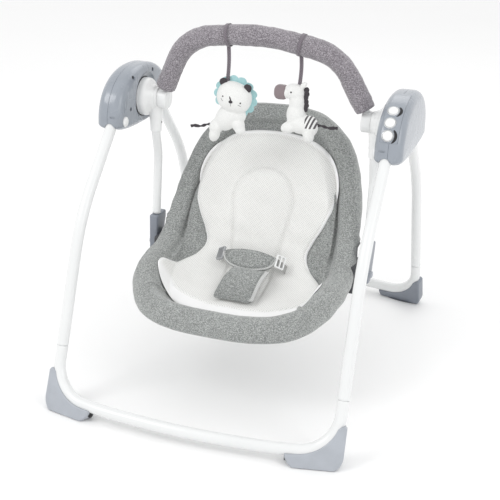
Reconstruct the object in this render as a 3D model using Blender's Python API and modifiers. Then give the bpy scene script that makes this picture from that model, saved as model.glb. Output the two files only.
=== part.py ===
"""Baby swing: folding A-frame on two base bars, hubs, swinging arms, padded seat and toy bar.

Metres, +Z up, +Y towards the back, the baby faces -Y. The origin is on the floor,
midway between the four feet. Left and right are as seen from the front.
"""

import bmesh
import bpy
import math
from mathutils import Matrix, Vector

# ---------------------------------------------------------------- driving dimensions
GAP = 0.0003                  # between pieces that touch
RUN = 0.00008                 # radial running clearance of a shaft in its bore

TUBE_R = 0.0105               # frame tube, 21 mm outside
PIVOT_Z = 0.500               # swing axis above the floor
LEG_PIVOT_Y = 0.075           # leg pins, in front of and behind the swing axis
LEG_TOP_X = 0.2592            # leg centre line at the hub
LEG_SEAM_X = 0.2627           # leg centre line where it meets the base bar
UPPER_LEAN = math.radians(43.4)
LOWER_LEAN = math.radians(19.8)
LEG_UPPER_DROP = 0.173        # from the pin down to the corner of the two straight runs
LEG_BEND_Z = PIVOT_Z - LEG_UPPER_DROP
LEG_BEND_R = 0.30
LEG_SEAM_Z = 0.1073
LEG_STUB = 0.010              # tube past its pin
BASE_Z = 0.023                # base bar centre line
BASE_CORNER_X = 0.2634
BASE_KICK = 0.0019553         # the corner's reach past the leg's own line
BASE_CORNER_Y = (LEG_PIVOT_Y + LEG_UPPER_DROP * math.tan(UPPER_LEAN)
                 + (LEG_BEND_Z - BASE_Z) * math.tan(LOWER_LEAN) + BASE_KICK)
BASE_CORNER_R = 0.070
BASE_BOW_X = 0.150
BASE_BOW_Y = BASE_CORNER_Y + 0.0245
BASE_MID_Y = BASE_CORNER_Y + 0.0352
FOOT_SIDE = TUBE_R + 0.0030            # foot's reach outside the tube's centre line, beside the leg
FOOT_UNDER = 0.036            # and under the bar, before the flat sole is cut
FOOT_HALF = TUBE_R + 0.0017            # half thickness across the tube
FOOT_LEG_RUN = 0.043          # up the leg from the bar's centre line
FOOT_BAR_RUN = 0.088          # along the bar from the corner
FOOT_CORNER_R = 0.034
FOOT_EDGE_R = 0.002

HUB_IN = 0.2380               # hub's inner and outer faces, from the middle plane
HUB_OUT = 0.2900
HUB_SPLIT = 0.2640            # parting plane of the two shells
HUB_HALF = 0.118              # half length along Y
HUB_MID_Z = PIVOT_Z - 0.032             # widest level
HUB_RISE = 0.094
HUB_DROP = 0.020
HUB_POWER = 2.3               # roundness of the outline
HUB_EDGE = 0.018              # rounding of the outer face's edge
HUB_EDGE_IN = 0.5             # the inner face's rounding, as a share of it
HUB_WALL = 0.0025
HUB_POINTS = 32
HUB_HOLE_R = 0.0385           # opening round the swing housing
LEG_CLEAR = 0.0010            # shell to leg tube
FOLD_DEG = 46.0               # front frame's fold

SHAFT_R = 0.005
SHAFT_END = 0.1965
BUSH_R = 0.0082
BOSS_R = 0.0135
BOSS_IN = 0.2640
PIN_R = 0.004

HOUSING_R = 0.0365
HOUSING_IN = 0.2430
COLLAR_R = 0.0108
COLLAR_END_Z = PIVOT_Z - 0.066
ARM_X = 0.2175
ARM_R = 0.0085
ARM_BACK_Y = 0.012            # how far the arm bows backwards
ARM_BOW_Z = PIVOT_Z - 0.115
ARM_END_Z = 0.262
ARM_END_Y = 0.002
ARM_LIFT = 0.0008             # the tube's slanted end stays this far off its bracket
BRACKET_IN = 0.2095
BRACKET_OUT = 0.2265
BRACKET_LOW_Z = 0.186
BRACKET_FRONT_Y = -0.013
BRACKET_BACK_Y = 0.033
BRACKET_TOE_Y = 0.011

RECLINE_Y = 0.002             # seat's tilt axis
RECLINE_Z = 0.203
RECLINE_R = 0.0065
RECLINE_TRAVEL = 0.0025

PANEL_IN = 0.2470             # control panel's sides
PANEL_OUT = 0.2785
PANEL_TOP_Y = -0.014
BUTTON_X = 0.2600
BUTTON_NAMES = ("power_button", "speed_button", "music_button")
BUTTON_R = 0.0088
BUTTON_MID_Z = PIVOT_Z + 0.029     # the buttons climb a lean face, so levels sit closer than holes
BUTTON_LEVELS = (BUTTON_MID_Z + 2 * BUTTON_R - 0.0016, BUTTON_MID_Z,
                 BUTTON_MID_Z - 2 * BUTTON_R - 0.0019)
PANEL_LOW_Z = BUTTON_LEVELS[2] - BUTTON_R - 0.0022
BUTTON_PROUD = 0.0030
BUTTON_DEEP = 0.0105
BUTTON_TRAVEL = 0.0015
LOCK_Y = 0.094
LOCK_Z = PIVOT_Z - 0.028
LOCK_R = 0.0070
LOCK_TRAVEL = 0.0020
SNAP_Z = 0.131
SNAP_R = 0.0032
SNAP_PROUD = 0.0020
SNAP_TRAVEL = 0.0018

SEAT_RUNS = ((0.151, 24), (0.140, 54), (0.245, -4.4))   # lengths and turns in degrees
SEAT_FRONT = (-0.2450, 0.1540)     # Y and Z of the seat's centre line at its front
SEAT_HEADING = -11.0          # its direction there, degrees above level
SEAT_HALF_W = 0.1755
SEAT_TAPER = 0.11             # how much narrower the head end is
SEAT_POWER = 3.1
SEAT_WALL = 0.018
RIM_R = 0.0250
RIM_BASE = -0.0160            # rim height over the centre line's surface, at the ends
RIM_BUMP = 0.063              # and how much higher beside the baby's hips
RIM_BUMP_AT = 0.129
RIM_BUMP_WIDE = 0.149
FLOOR_RISE = 0.030            # how much the bowl's floor climbs at its sides
HOOP_R = 0.0080
SOCKET_IN = 0.1710
SOCKET_OUT = 0.2090
SOCKET_FRONT_Y = -0.036
SOCKET_BACK_Y = 0.024
SOCKET_LOW_Z = 0.1720
SOCKET_HIGH_Z = 0.2270
HOOP_INSET = 0.012            # how far a hoop's end runs on before it is cut by its socket
INSERT_LIFT = 0.0060
INSERT_T = 0.0110
INSERT_SPAN = 0.80            # share of the seat's own outline
INSERT_WAIST = 0.27           # narrowing between the shoulders and the hips
INSERT_WAIST_AT = 0.262
INSERT_WAIST_WIDE = 0.048
STRAP_T = 0.008

TOY_BAR_LEAN = math.radians(6.0)
TOY_BAR_HALF = 0.2000
TOY_BAR_TOP = 0.1445          # arch above the swing axis
TOY_BAR_R = 0.0060
TOY_PAD_R = 0.0195
TOY_PAD_BORE = TOY_BAR_R + GAP
BAR_START = 0.010             # the bar's end inside its socket, above the swing axis
TOY_PAD_START = 0.0228        # where the padding begins, above the swing axis
TOY_CAP_R = 0.0195
TOY_CAP_IN = 0.1905
TOY_CAP_OUT = 0.2085
TOY_CORNER_R = 0.090
TOY_X = (-0.066, 0.074)
TOY_NAMES = ("cub_toy", "foal_toy")
TOY_DROP = 0.150              # ribbon and toy below the bar
RIBBON_W = 0.007
RIBBON_T = 0.0016

# ---------------------------------------------------------------- scene and helpers
for old in list(bpy.data.objects):
    bpy.data.objects.remove(old)

PARTS = bpy.data.collections.new("baby_swing")
CUTTERS = bpy.data.collections.new("cutters")
bpy.context.scene.collection.children.link(PARTS)
bpy.context.scene.collection.children.link(CUTTERS)


def material(name, colour, rough, metal=0.0):
    made = bpy.data.materials.new(name)
    made.use_nodes = True
    shader = made.node_tree.nodes["Principled BSDF"]
    shader.inputs["Base Color"].default_value = (*colour, 1.0)
    shader.inputs["Roughness"].default_value = rough
    shader.inputs["Metallic"].default_value = metal
    return made


WHITE_PAINT = material("white_paint", (0.86, 0.87, 0.86), 0.35)
WHITE_PLASTIC = material("white_plastic", (0.88, 0.88, 0.87), 0.3)
GREY_GLOSS = material("grey_gloss", (0.42, 0.45, 0.50), 0.25)
GREY_PLASTIC = material("grey_plastic", (0.36, 0.38, 0.43), 0.45)
DARK_PLASTIC = material("dark_plastic", (0.10, 0.10, 0.11), 0.5)
STEEL = material("steel", (0.6, 0.6, 0.6), 0.3, 1.0)
BRASS = material("brass", (0.7, 0.5, 0.25), 0.35, 1.0)
BOARD = material("board", (0.05, 0.25, 0.12), 0.5)
COPPER = material("copper", (0.7, 0.3, 0.15), 0.35, 1.0)
GREY_FABRIC = material("grey_fabric", (0.33, 0.33, 0.33), 0.9)
WHITE_FABRIC = material("white_fabric", (0.9, 0.9, 0.88), 0.9)
KNIT = material("knit", (0.30, 0.27, 0.29), 0.95)
PLUSH = material("plush", (0.92, 0.92, 0.9), 0.95)


def placed(name, mesh, mat=None):
    """An object on the mesh: a part when it has a material, a hidden cutter when not."""
    made = bpy.data.objects.new(name, mesh)
    if mat:
        PARTS.objects.link(made)
        mesh.materials.append(mat)
    else:
        CUTTERS.objects.link(made)
        made.hide_render = True
        made.display_type = "WIRE"
    return made


def solid_from(name, bm, mat=None, smooth=True):
    """A mesh object from a bmesh, with its faces turned outwards."""
    bmesh.ops.recalc_face_normals(bm, faces=bm.faces)
    mesh = bpy.data.meshes.new(name)
    bm.to_mesh(mesh)
    bm.free()
    if smooth:
        mesh.shade_smooth()
        mesh.set_sharp_from_angle(angle=math.radians(40))
    return placed(name, mesh, mat)


def boolean(part, other, how="DIFFERENCE"):
    step = part.modifiers.new(how.lower(), "BOOLEAN")
    step.operation = how
    step.object = other
    step.solver = "EXACT"
    return part


def join(part, *others):
    for other in others:
        boolean(part, other, "UNION")
    return part


def cut(part, *others):
    for other in others:
        boolean(part, other)
    return part


def cylinder(name, start, end, r, mat=None, sides=20, r_end=None):
    """A rod, or a cone, between two points."""
    start, end = Vector(start), Vector(end)
    bm = bmesh.new()
    turn = Vector((0, 0, 1)).rotation_difference(end - start).to_matrix().to_4x4()
    bmesh.ops.create_cone(
        bm, cap_ends=True, segments=sides, radius1=r, radius2=r if r_end is None else r_end,
        depth=(end - start).length, matrix=Matrix.Translation((start + end) / 2) @ turn)
    return solid_from(name, bm, mat)


def box(name, low, high, mat=None, edge=0.0, turn=None):
    """A box between two corners, turned about its own middle, with rounded edges."""
    low, high = Vector(low), Vector(high)
    bm = bmesh.new()
    bmesh.ops.create_cube(bm, size=1.0, matrix=Matrix.Diagonal((*(high - low), 1.0)))
    made = solid_from(name, bm, mat, smooth=False)
    made.location = (low + high) / 2
    if turn is not None:
        made.rotation_euler = turn
    if edge:
        rounding = made.modifiers.new("edges", "BEVEL")
        rounding.width = edge
        rounding.segments = 2
    return made


def tube(name, path, r, mat=None, resolution=4):
    """A round rod along a path, as a mesh with its caps welded on."""
    data = bpy.data.curves.new(name, "CURVE")
    data.dimensions = "3D"
    data.bevel_depth = r
    data.bevel_resolution = resolution
    data.use_fill_caps = True
    spline = data.splines.new("POLY")
    spline.points.add(len(path) - 1)
    for point, place in zip(spline.points, path):
        point.co = (*place, 1.0)
    guide = bpy.data.objects.new(name + "_path", data)
    CUTTERS.objects.link(guide)
    bpy.context.view_layer.update()
    mesh = bpy.data.meshes.new_from_object(
        guide.evaluated_get(bpy.context.evaluated_depsgraph_get()))
    bpy.data.objects.remove(guide)
    bm = bmesh.new()
    bm.from_mesh(mesh)
    bmesh.ops.remove_doubles(bm, verts=bm.verts, dist=1e-5)
    mesh.materials.clear()
    return solid_from(name, bm, mat)


def slab(name, outline, low, high, place, mat=None, edge=0.0):
    """A flat outline of 2-D points, made thick between two heights and put in place."""
    bm = bmesh.new()
    ring = [bm.verts.new((a, b, low)) for a, b in outline]
    face = bm.faces.new(ring)
    grown = bmesh.ops.extrude_face_region(bm, geom=[face])
    lifted = [v for v in grown["geom"] if isinstance(v, bmesh.types.BMVert)]
    bmesh.ops.translate(bm, vec=(0, 0, high - low), verts=lifted)
    bmesh.ops.transform(bm, matrix=place, verts=bm.verts)
    made = solid_from(name, bm, mat)
    if edge:
        rounding = made.modifiers.new("edges", "BEVEL")
        rounding.width = edge
        rounding.segments = 2
        rounding.limit_method = "ANGLE"
    return made


def turned(name, profile, place, mat=None, sides=20):
    """A profile of (radius, height) points turned about its own Z, then put in place."""
    bm = bmesh.new()
    rings = []
    for r, z in profile:
        if r < 1e-6:
            rings.append([bm.verts.new((0, 0, z))])
        else:
            rings.append([
                bm.verts.new((r * math.cos(a), r * math.sin(a), z))
                for a in (2 * math.pi * k / sides for k in range(sides))])
    for low, high in zip(rings, rings[1:]):
        for k in range(sides):
            corners = [
                low[k % len(low)], low[(k + 1) % len(low)],
                high[(k + 1) % len(high)], high[k % len(high)]]
            unique = list(dict.fromkeys(corners))
            bm.faces.new(unique)
    bmesh.ops.transform(bm, matrix=place, verts=bm.verts)
    return solid_from(name, bm, mat)


def along_x(side, x=0.0, y=0.0, z=PIVOT_Z):
    """Turns local Z to +X or -X, with the local origin at the given place."""
    turn = Matrix.Rotation(side * math.pi / 2, 4, "Y")
    return Matrix.Translation((side * x, y, z)) @ turn


def rounded(points, radii, step=math.radians(13)):
    """A path through corner points, each corner turned by an arc of its own radius."""
    points = [Vector(p) for p in points]
    path = [points[0]]
    for before, corner, after, r in zip(points, points[1:], points[2:], radii):
        to_before = (before - corner).normalized()
        to_after = (after - corner).normalized()
        half = to_before.angle(to_after) / 2
        turn = math.pi - 2 * half
        middle = corner + (to_before + to_after).normalized() * r / math.sin(half)
        start = corner + to_before * r / math.tan(half) - middle
        axis = start.cross(corner + to_after * r / math.tan(half) - middle).normalized()
        count = max(2, math.ceil(turn / step))
        for k in range(count + 1):
            path.append(middle + Matrix.Rotation(turn * k / count, 3, axis) @ start)
    path.append(points[-1])
    return path


def pivoted(part, place):
    """Moves an object's origin to its joint's axis without moving the shape."""
    place = Vector(place)
    part.data.transform(Matrix.Translation(-place) @ part.matrix_basis)
    part.matrix_basis = Matrix.Translation(place)
    return part


# ---------------------------------------------------------------- folding frame
def leg_x(z):
    return LEG_TOP_X + (LEG_SEAM_X - LEG_TOP_X) * (PIVOT_Z - z) / (PIVOT_Z - LEG_SEAM_Z)


def leg_line(end):
    """Corner points of a leg, from its top stub to the seam; end is -1 at the front."""
    up = Vector((0, -end * math.sin(UPPER_LEAN), math.cos(UPPER_LEAN)))
    pin = Vector((leg_x(PIVOT_Z), end * LEG_PIVOT_Y, PIVOT_Z))
    bend_y = LEG_PIVOT_Y + (PIVOT_Z - LEG_BEND_Z) * math.tan(UPPER_LEAN)
    seam_y = bend_y + (LEG_BEND_Z - LEG_SEAM_Z) * math.tan(LOWER_LEAN)
    bend = Vector((leg_x(LEG_BEND_Z), end * bend_y, LEG_BEND_Z))
    seam = Vector((leg_x(LEG_SEAM_Z), end * seam_y, LEG_SEAM_Z))
    return pin + up * LEG_STUB, bend, seam


def mirrored(points, side):
    return [Vector((side * p.x, p.y, p.z)) for p in points]


def base_line(end):
    """Corner points and radii of one base bar, from seam to seam."""
    seam = leg_line(end)[2]
    bend = leg_line(end)[1]
    start = seam + (seam - bend).normalized() * GAP
    half = [
        start,
        Vector((BASE_CORNER_X, end * BASE_CORNER_Y, BASE_Z)),
        Vector((BASE_BOW_X, end * BASE_BOW_Y, BASE_Z)),
        Vector((0, end * BASE_MID_Y, BASE_Z))]
    points = half + mirrored(half[:3][::-1], -1)
    return points, (BASE_CORNER_R, 0.55, 0.9, 0.55, BASE_CORNER_R)


def foot(name, side, end):
    """A corner cover: the outside of the bend, filled out to a flat sole."""
    points = mirrored(base_line(end)[0][:3], side)
    top, corner, along = points
    bar = (along - corner).normalized()
    leg = (top - corner).normalized()
    across = bar.cross(leg).normalized()
    leg = across.cross(bar)
    lean = leg.angle((top - corner).normalized())
    place = Matrix((
        (bar.x, leg.x, across.x, corner.x), (bar.y, leg.y, across.y, corner.y),
        (bar.z, leg.z, across.z, corner.z), (0, 0, 0, 1)))
    lean_x = math.tan(lean) * (1 if (top - corner).normalized().dot(bar) > 0 else -1)
    r = BASE_CORNER_R
    inner = [(r - r * math.sin(a), r - r * math.cos(a))
             for a in (math.pi / 2 * k / 8 for k in range(9))]
    inner = [(a + 0.002, b + 0.002) for a, b in inner]
    edge = FOOT_CORNER_R
    outer = [(edge - FOOT_SIDE - edge * math.cos(a), edge - FOOT_UNDER - edge * math.sin(a))
             for a in (math.pi / 2 * k / 6 for k in range(7))]
    outline = (
        [(0.002 + lean_x * FOOT_LEG_RUN, FOOT_LEG_RUN + 0.004)]
        + [(-FOOT_SIDE + lean_x * FOOT_LEG_RUN, FOOT_LEG_RUN)] + outer
        + [(FOOT_BAR_RUN - 0.010, -FOOT_UNDER), (FOOT_BAR_RUN, -0.004), (FOOT_BAR_RUN, 0.002)]
        + [p for p in inner if p[0] < FOOT_BAR_RUN - 0.004 and p[1] < FOOT_LEG_RUN])
    made = slab(name, outline, -FOOT_HALF, FOOT_HALF, place, GREY_PLASTIC, FOOT_EDGE_R)
    room = tube(name + "_tube_room", rounded(*base_line(end)), TUBE_R + GAP)
    floor = box(name + "_floor", (side * 0.2 - 0.15, end * 0.35 - 0.1, -0.08),
                (side * 0.2 + 0.15, end * 0.35 + 0.1, 0.0))
    return cut(made, room, floor)


def frame(end, label):
    points, radii = base_line(end)
    bar = tube(label + "_base_bar", rounded(points, radii), TUBE_R, WHITE_PAINT)
    legs = []
    for side, hand in ((-1, "left"), (1, "right")):
        line = mirrored(leg_line(end), side)
        leg = tube(f"{label}_{hand}_leg", rounded(line, (LEG_BEND_R,)), TUBE_R, WHITE_PAINT)
        pin_hole = cylinder(
            f"{label}_{hand}_pin_hole", (side * HUB_IN, end * LEG_PIVOT_Y, PIVOT_Z),
            (side * HUB_OUT, end * LEG_PIVOT_Y, PIVOT_Z), PIN_R + RUN)
        cut(leg, pin_hole)
        legs.append(leg)
        foot(f"{label}_{hand}_foot", side, end)
    return bar, legs


def leg_y(z):
    """Distance of a leg's lower run from the swing plane."""
    bend_y = LEG_PIVOT_Y + (PIVOT_Z - LEG_BEND_Z) * math.tan(UPPER_LEAN)
    return bend_y + (LEG_BEND_Z - z) * math.tan(LOWER_LEAN)


frame(-1, "front")
rear_legs = frame(1, "rear")[1]
for leg, side, hand in zip(rear_legs, (-1, 1), ("left", "right")):
    middle = Vector((side * leg_x(SNAP_Z), leg_y(SNAP_Z), SNAP_Z))
    face = middle.y - TUBE_R
    deep = middle.y - TUBE_R / 2
    cut(leg, cylinder(hand + "_snap_hole", (middle.x, face - 0.01, SNAP_Z),
                      (middle.x, deep + SNAP_TRAVEL + 0.002, SNAP_Z), SNAP_R + GAP))
    pivoted(cylinder(f"rear_{hand}_snap_button", (middle.x, face - SNAP_PROUD, SNAP_Z),
                     (middle.x, deep, SNAP_Z), SNAP_R, STEEL, sides=12), middle)


# ---------------------------------------------------------------- hubs
def hub_outline(inset):
    """The hub seen from the side: a rounded dome over a shallow rounded keel."""
    points = []
    for k in range(HUB_POINTS):
        a = 2 * math.pi * k / HUB_POINTS
        c, s = math.cos(a), math.sin(a)
        y = (HUB_HALF - inset) * math.copysign(abs(c) ** (2 / HUB_POWER), c)
        tall = (HUB_RISE if s > 0 else HUB_DROP) - inset
        z = HUB_MID_Z + tall * math.copysign(abs(s) ** (2 / HUB_POWER), s)
        points.append((y, z))
    return points


def pebble(name, side, inset, mat=None):
    """The hub's rounded body, or its hollow when inset by the wall."""
    bm = bmesh.new()
    low, high = HUB_IN + inset, HUB_OUT - inset
    ring = [bm.verts.new((side * low, y, z)) for y, z in hub_outline(inset)]
    face = bm.faces.new(ring)
    grown = bmesh.ops.extrude_face_region(bm, geom=[face])
    lifted = [v for v in grown["geom"] if isinstance(v, bmesh.types.BMVert)]
    bmesh.ops.translate(bm, vec=(side * (high - low), 0, 0), verts=lifted)
    weights = bm.edges.layers.float.new("bevel_weight_edge")
    for edge in bm.edges:
        xs = [abs(v.co.x) for v in edge.verts]
        if abs(xs[0] - xs[1]) < 1e-6:
            edge[weights] = 1.0 if xs[0] > HUB_SPLIT else HUB_EDGE_IN
    made = solid_from(name, bm, mat)
    rounding = made.modifiers.new("edges", "BEVEL")
    rounding.limit_method = "WEIGHT"
    rounding.width = HUB_EDGE - inset
    rounding.segments = 2
    return made


def span(side, a, b, low, high, name):
    """A cutter box between two distances from the middle plane."""
    xs = sorted((side * a, side * b))
    return box(name, (xs[0], low[0], low[1]), (xs[1], high[0], high[1]))


def fold_sector(name, side):
    """The room that the front leg's top sweeps through the shells as the frame folds."""
    reach = 0.095
    start, turn = math.pi + (math.pi / 2 - UPPER_LEAN), math.radians(FOLD_DEG)
    outline = [(0.0, 0.0)]
    for k in range(9):
        a = start + turn * k / 8
        outline.append((reach * math.cos(a), reach * math.sin(a)))
    half = TUBE_R + LEG_CLEAR
    place = Matrix.Translation((side * (LEG_TOP_X + 0.0003), -LEG_PIVOT_Y, PIVOT_Z)) @ Matrix((
        (0, 0, 1, 0), (1, 0, 0, 0), (0, 1, 0, 0), (0, 0, 0, 1)))
    return slab(name, outline, -half, half, place)


def leg_room(name, side, end, turn=0.0):
    """A bore round the top of a leg, at rest or folded by some angle."""
    pin = Vector((side * (LEG_TOP_X + 0.0003), end * LEG_PIVOT_Y, PIVOT_Z))
    lean = UPPER_LEAN - turn
    down = Vector((0, end * math.sin(lean), -math.cos(lean)))
    return cylinder(name, pin - down * 0.014, pin + down * 0.11, TUBE_R + LEG_CLEAR)


def profile_point(level):
    """A point on the hub's front edge, and the way out of the surface there."""
    def y_at(z):
        rise = (z - HUB_MID_Z) / HUB_RISE
        return -HUB_HALF * (1 - rise ** HUB_POWER) ** (1 / HUB_POWER)
    nudge = 0.0005
    slope = Vector((0, y_at(level + nudge) - y_at(level - nudge), 2 * nudge)).normalized()
    return Vector((0, y_at(level), level)), Vector((0, -slope.z, slope.y))


def hub(side, hand):
    body = "_hub_"
    hollow = pebble(hand + "_hub_hollow", side, HUB_WALL)
    rooms = [
        leg_room(hand + "_front_leg_room", side, -1),
        leg_room(hand + "_front_leg_room_folded", side, -1, math.radians(FOLD_DEG)),
        leg_room(hand + "_rear_leg_room", side, 1),
        fold_sector(hand + "_fold_room", side)]
    half_low, half_high = (-0.2, PIVOT_Z - 0.1), (0.2, PIVOT_Z + 0.1)
    outer = pebble(hand + body + "outer_shell", side, 0.0, GREY_GLOSS)
    cut(outer, hollow, span(side, 0.20, HUB_SPLIT + GAP / 2, half_low, half_high,
                            hand + "_inner_half"), *rooms)
    boss = cylinder(hand + "_boss", (side * BOSS_IN, 0, PIVOT_Z),
                    (side * (HUB_OUT - HUB_WALL / 2), 0, PIVOT_Z), BOSS_R)
    bore = cylinder(hand + "_boss_bore", (side * (BOSS_IN - 0.01), 0, PIVOT_Z),
                    (side * (HUB_OUT - HUB_WALL - 0.0005), 0, PIVOT_Z), BUSH_R + GAP)
    join(outer, boss)
    cut(outer, bore)
    inner = pebble(hand + body + "inner_shell", side, 0.0, GREY_GLOSS)
    cut(inner, hollow, span(side, HUB_SPLIT - GAP / 2, 0.32, half_low, half_high,
                            hand + "_outer_half"), *rooms)
    opening = cylinder(hand + "_housing_opening", (side * 0.22, 0, PIVOT_Z),
                       (side * 0.25, 0, PIVOT_Z), HUB_HOLE_R, sides=32)
    lock_hole = cylinder(hand + "_lock_hole", (side * 0.22, -LOCK_Y, LOCK_Z),
                         (side * 0.2475, -LOCK_Y, LOCK_Z), LOCK_R + GAP)
    cut(inner, opening, lock_hole)
    bush = cylinder(hand + "_pivot_bush", (side * (BOSS_IN - 0.001), 0, PIVOT_Z),
                    (side * (HUB_OUT - HUB_WALL - 0.003), 0, PIVOT_Z), BUSH_R, BRASS)
    cut(bush, cylinder(hand + "_bush_bore", (side * 0.25, 0, PIVOT_Z), (side * 0.30, 0, PIVOT_Z),
                       SHAFT_R + RUN, sides=24))
    cylinder(hand + "_leg_pin", (side * (HUB_IN + HUB_WALL + GAP), -LEG_PIVOT_Y, PIVOT_Z),
             (side * (HUB_OUT - HUB_WALL - GAP), -LEG_PIVOT_Y, PIVOT_Z), PIN_R, STEEL)
    lock = cylinder(hand + "_leg_lock", (side * (HUB_IN - 0.0025), -LOCK_Y, LOCK_Z),
                    (side * 0.2465, -LOCK_Y, LOCK_Z), LOCK_R, WHITE_PLASTIC)
    pivoted(lock, (side * HUB_IN, -LOCK_Y, LOCK_Z))
    return outer, inner, hollow


right_outer, right_inner, right_hollow = hub(1, "right")
left_outer, left_inner, left_hollow = hub(-1, "left")


def window(name, side, low, high, grow):
    """A box round a panel's place in the hub's wall; each corner is x, y, z."""
    xs = sorted((side * (low[0] - grow), side * (high[0] + grow)))
    return box(name, (xs[0], low[1] - grow, low[2] - grow), (xs[1], high[1] + grow, high[2] + grow))


def panel(name, side, low, high, shells, hollow, mat):
    """A cover that fills a window in the hub's wall and follows its surface."""
    made = pebble(name, side, 0.0, mat)
    boolean(made, window(name + "_window", side, low, high, 0.0), "INTERSECT")
    cut(made, hollow)
    for shell in shells:
        cut(shell, window(name + "_hole", side, low, high, GAP))
    return made


control_panel = panel(
    "control_panel", 1, (PANEL_IN, -0.15, PANEL_LOW_Z), (PANEL_OUT, PANEL_TOP_Y, PIVOT_Z + 0.10),
    (right_outer, right_inner), right_hollow, GREY_GLOSS)
for level, name in zip(BUTTON_LEVELS, BUTTON_NAMES):
    seat_at, out = profile_point(level)
    seat_at.x = BUTTON_X
    cut(control_panel, cylinder(name + "_hole", seat_at - out * 0.02, seat_at + out * 0.02,
                                BUTTON_R + GAP))
    pivoted(cylinder(name, seat_at - out * BUTTON_DEEP, seat_at + out * BUTTON_PROUD, BUTTON_R,
                     WHITE_PLASTIC), seat_at)

# Battery compartment in the left hub: a tray over the pivot, and its door in the outer face.
CELL_R = 0.0131
CELL_LONG = 0.0500
CELL_Z = PIVOT_Z + 0.0305
TRAY_T = 0.0012
TRAY_OUT = 0.2795
TRAY_IN = TRAY_OUT - 2 * CELL_R - 0.001 - TRAY_T
tray_y = CELL_LONG + 0.0012 + TRAY_T
tray = span(-1, TRAY_IN, TRAY_OUT, (-tray_y, CELL_Z - CELL_R - GAP - TRAY_T),
            (tray_y, CELL_Z + CELL_R + GAP + TRAY_T), "battery_tray")
CUTTERS.objects.unlink(tray)
PARTS.objects.link(tray)
tray.display_type = "TEXTURED"
tray.hide_render = False
tray.data.materials.append(DARK_PLASTIC)
cut(tray, span(-1, TRAY_IN + TRAY_T, TRAY_OUT + 0.01, (-tray_y + TRAY_T, CELL_Z - CELL_R - GAP),
               (tray_y - TRAY_T, CELL_Z + CELL_R + GAP), "tray_hollow"))
for end, name in ((-1, "battery_cell_front"), (1, "battery_cell_rear")):
    x = -(TRAY_IN + TRAY_T + CELL_R + GAP)
    cylinder(name, (x, end * 0.0004, CELL_Z), (x, end * CELL_LONG, CELL_Z), CELL_R, STEEL)
panel("battery_door", -1, (0.2820, -tray_y, CELL_Z - CELL_R), (0.30, tray_y, CELL_Z + 0.010),
      (left_outer,), left_hollow, GREY_GLOSS)

# Right hub's insides: board behind the buttons, drive coil under the pivot, speaker.
board_at, board_out = profile_point(BUTTON_LEVELS[1])
board_mid = board_at - board_out * 0.0190
board_turn = math.atan2(board_out.z, -board_out.y)
box("circuit_board", (HUB_SPLIT - 0.017, board_mid.y - 0.0008, board_mid.z - 0.029),
    (HUB_SPLIT + 0.017, board_mid.y + 0.0008, board_mid.z + 0.029), BOARD,
    turn=(-board_turn, 0, 0))
COIL_Z = PIVOT_Z - 0.032
COIL_R = 0.0100
coil = cylinder("drive_coil", (0.2605, 0, COIL_Z), (0.2720, 0, COIL_Z), COIL_R, COPPER)
cut(coil, cylinder("coil_core", (0.25, 0, COIL_Z), (0.28, 0, COIL_Z), 0.004))
SPEAKER_AT = (0.045, PIVOT_Z + 0.015)
cylinder("speaker", (0.2768, *SPEAKER_AT), (HUB_OUT - HUB_WALL - GAP, *SPEAKER_AT), 0.014,
         DARK_PLASTIC)


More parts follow.
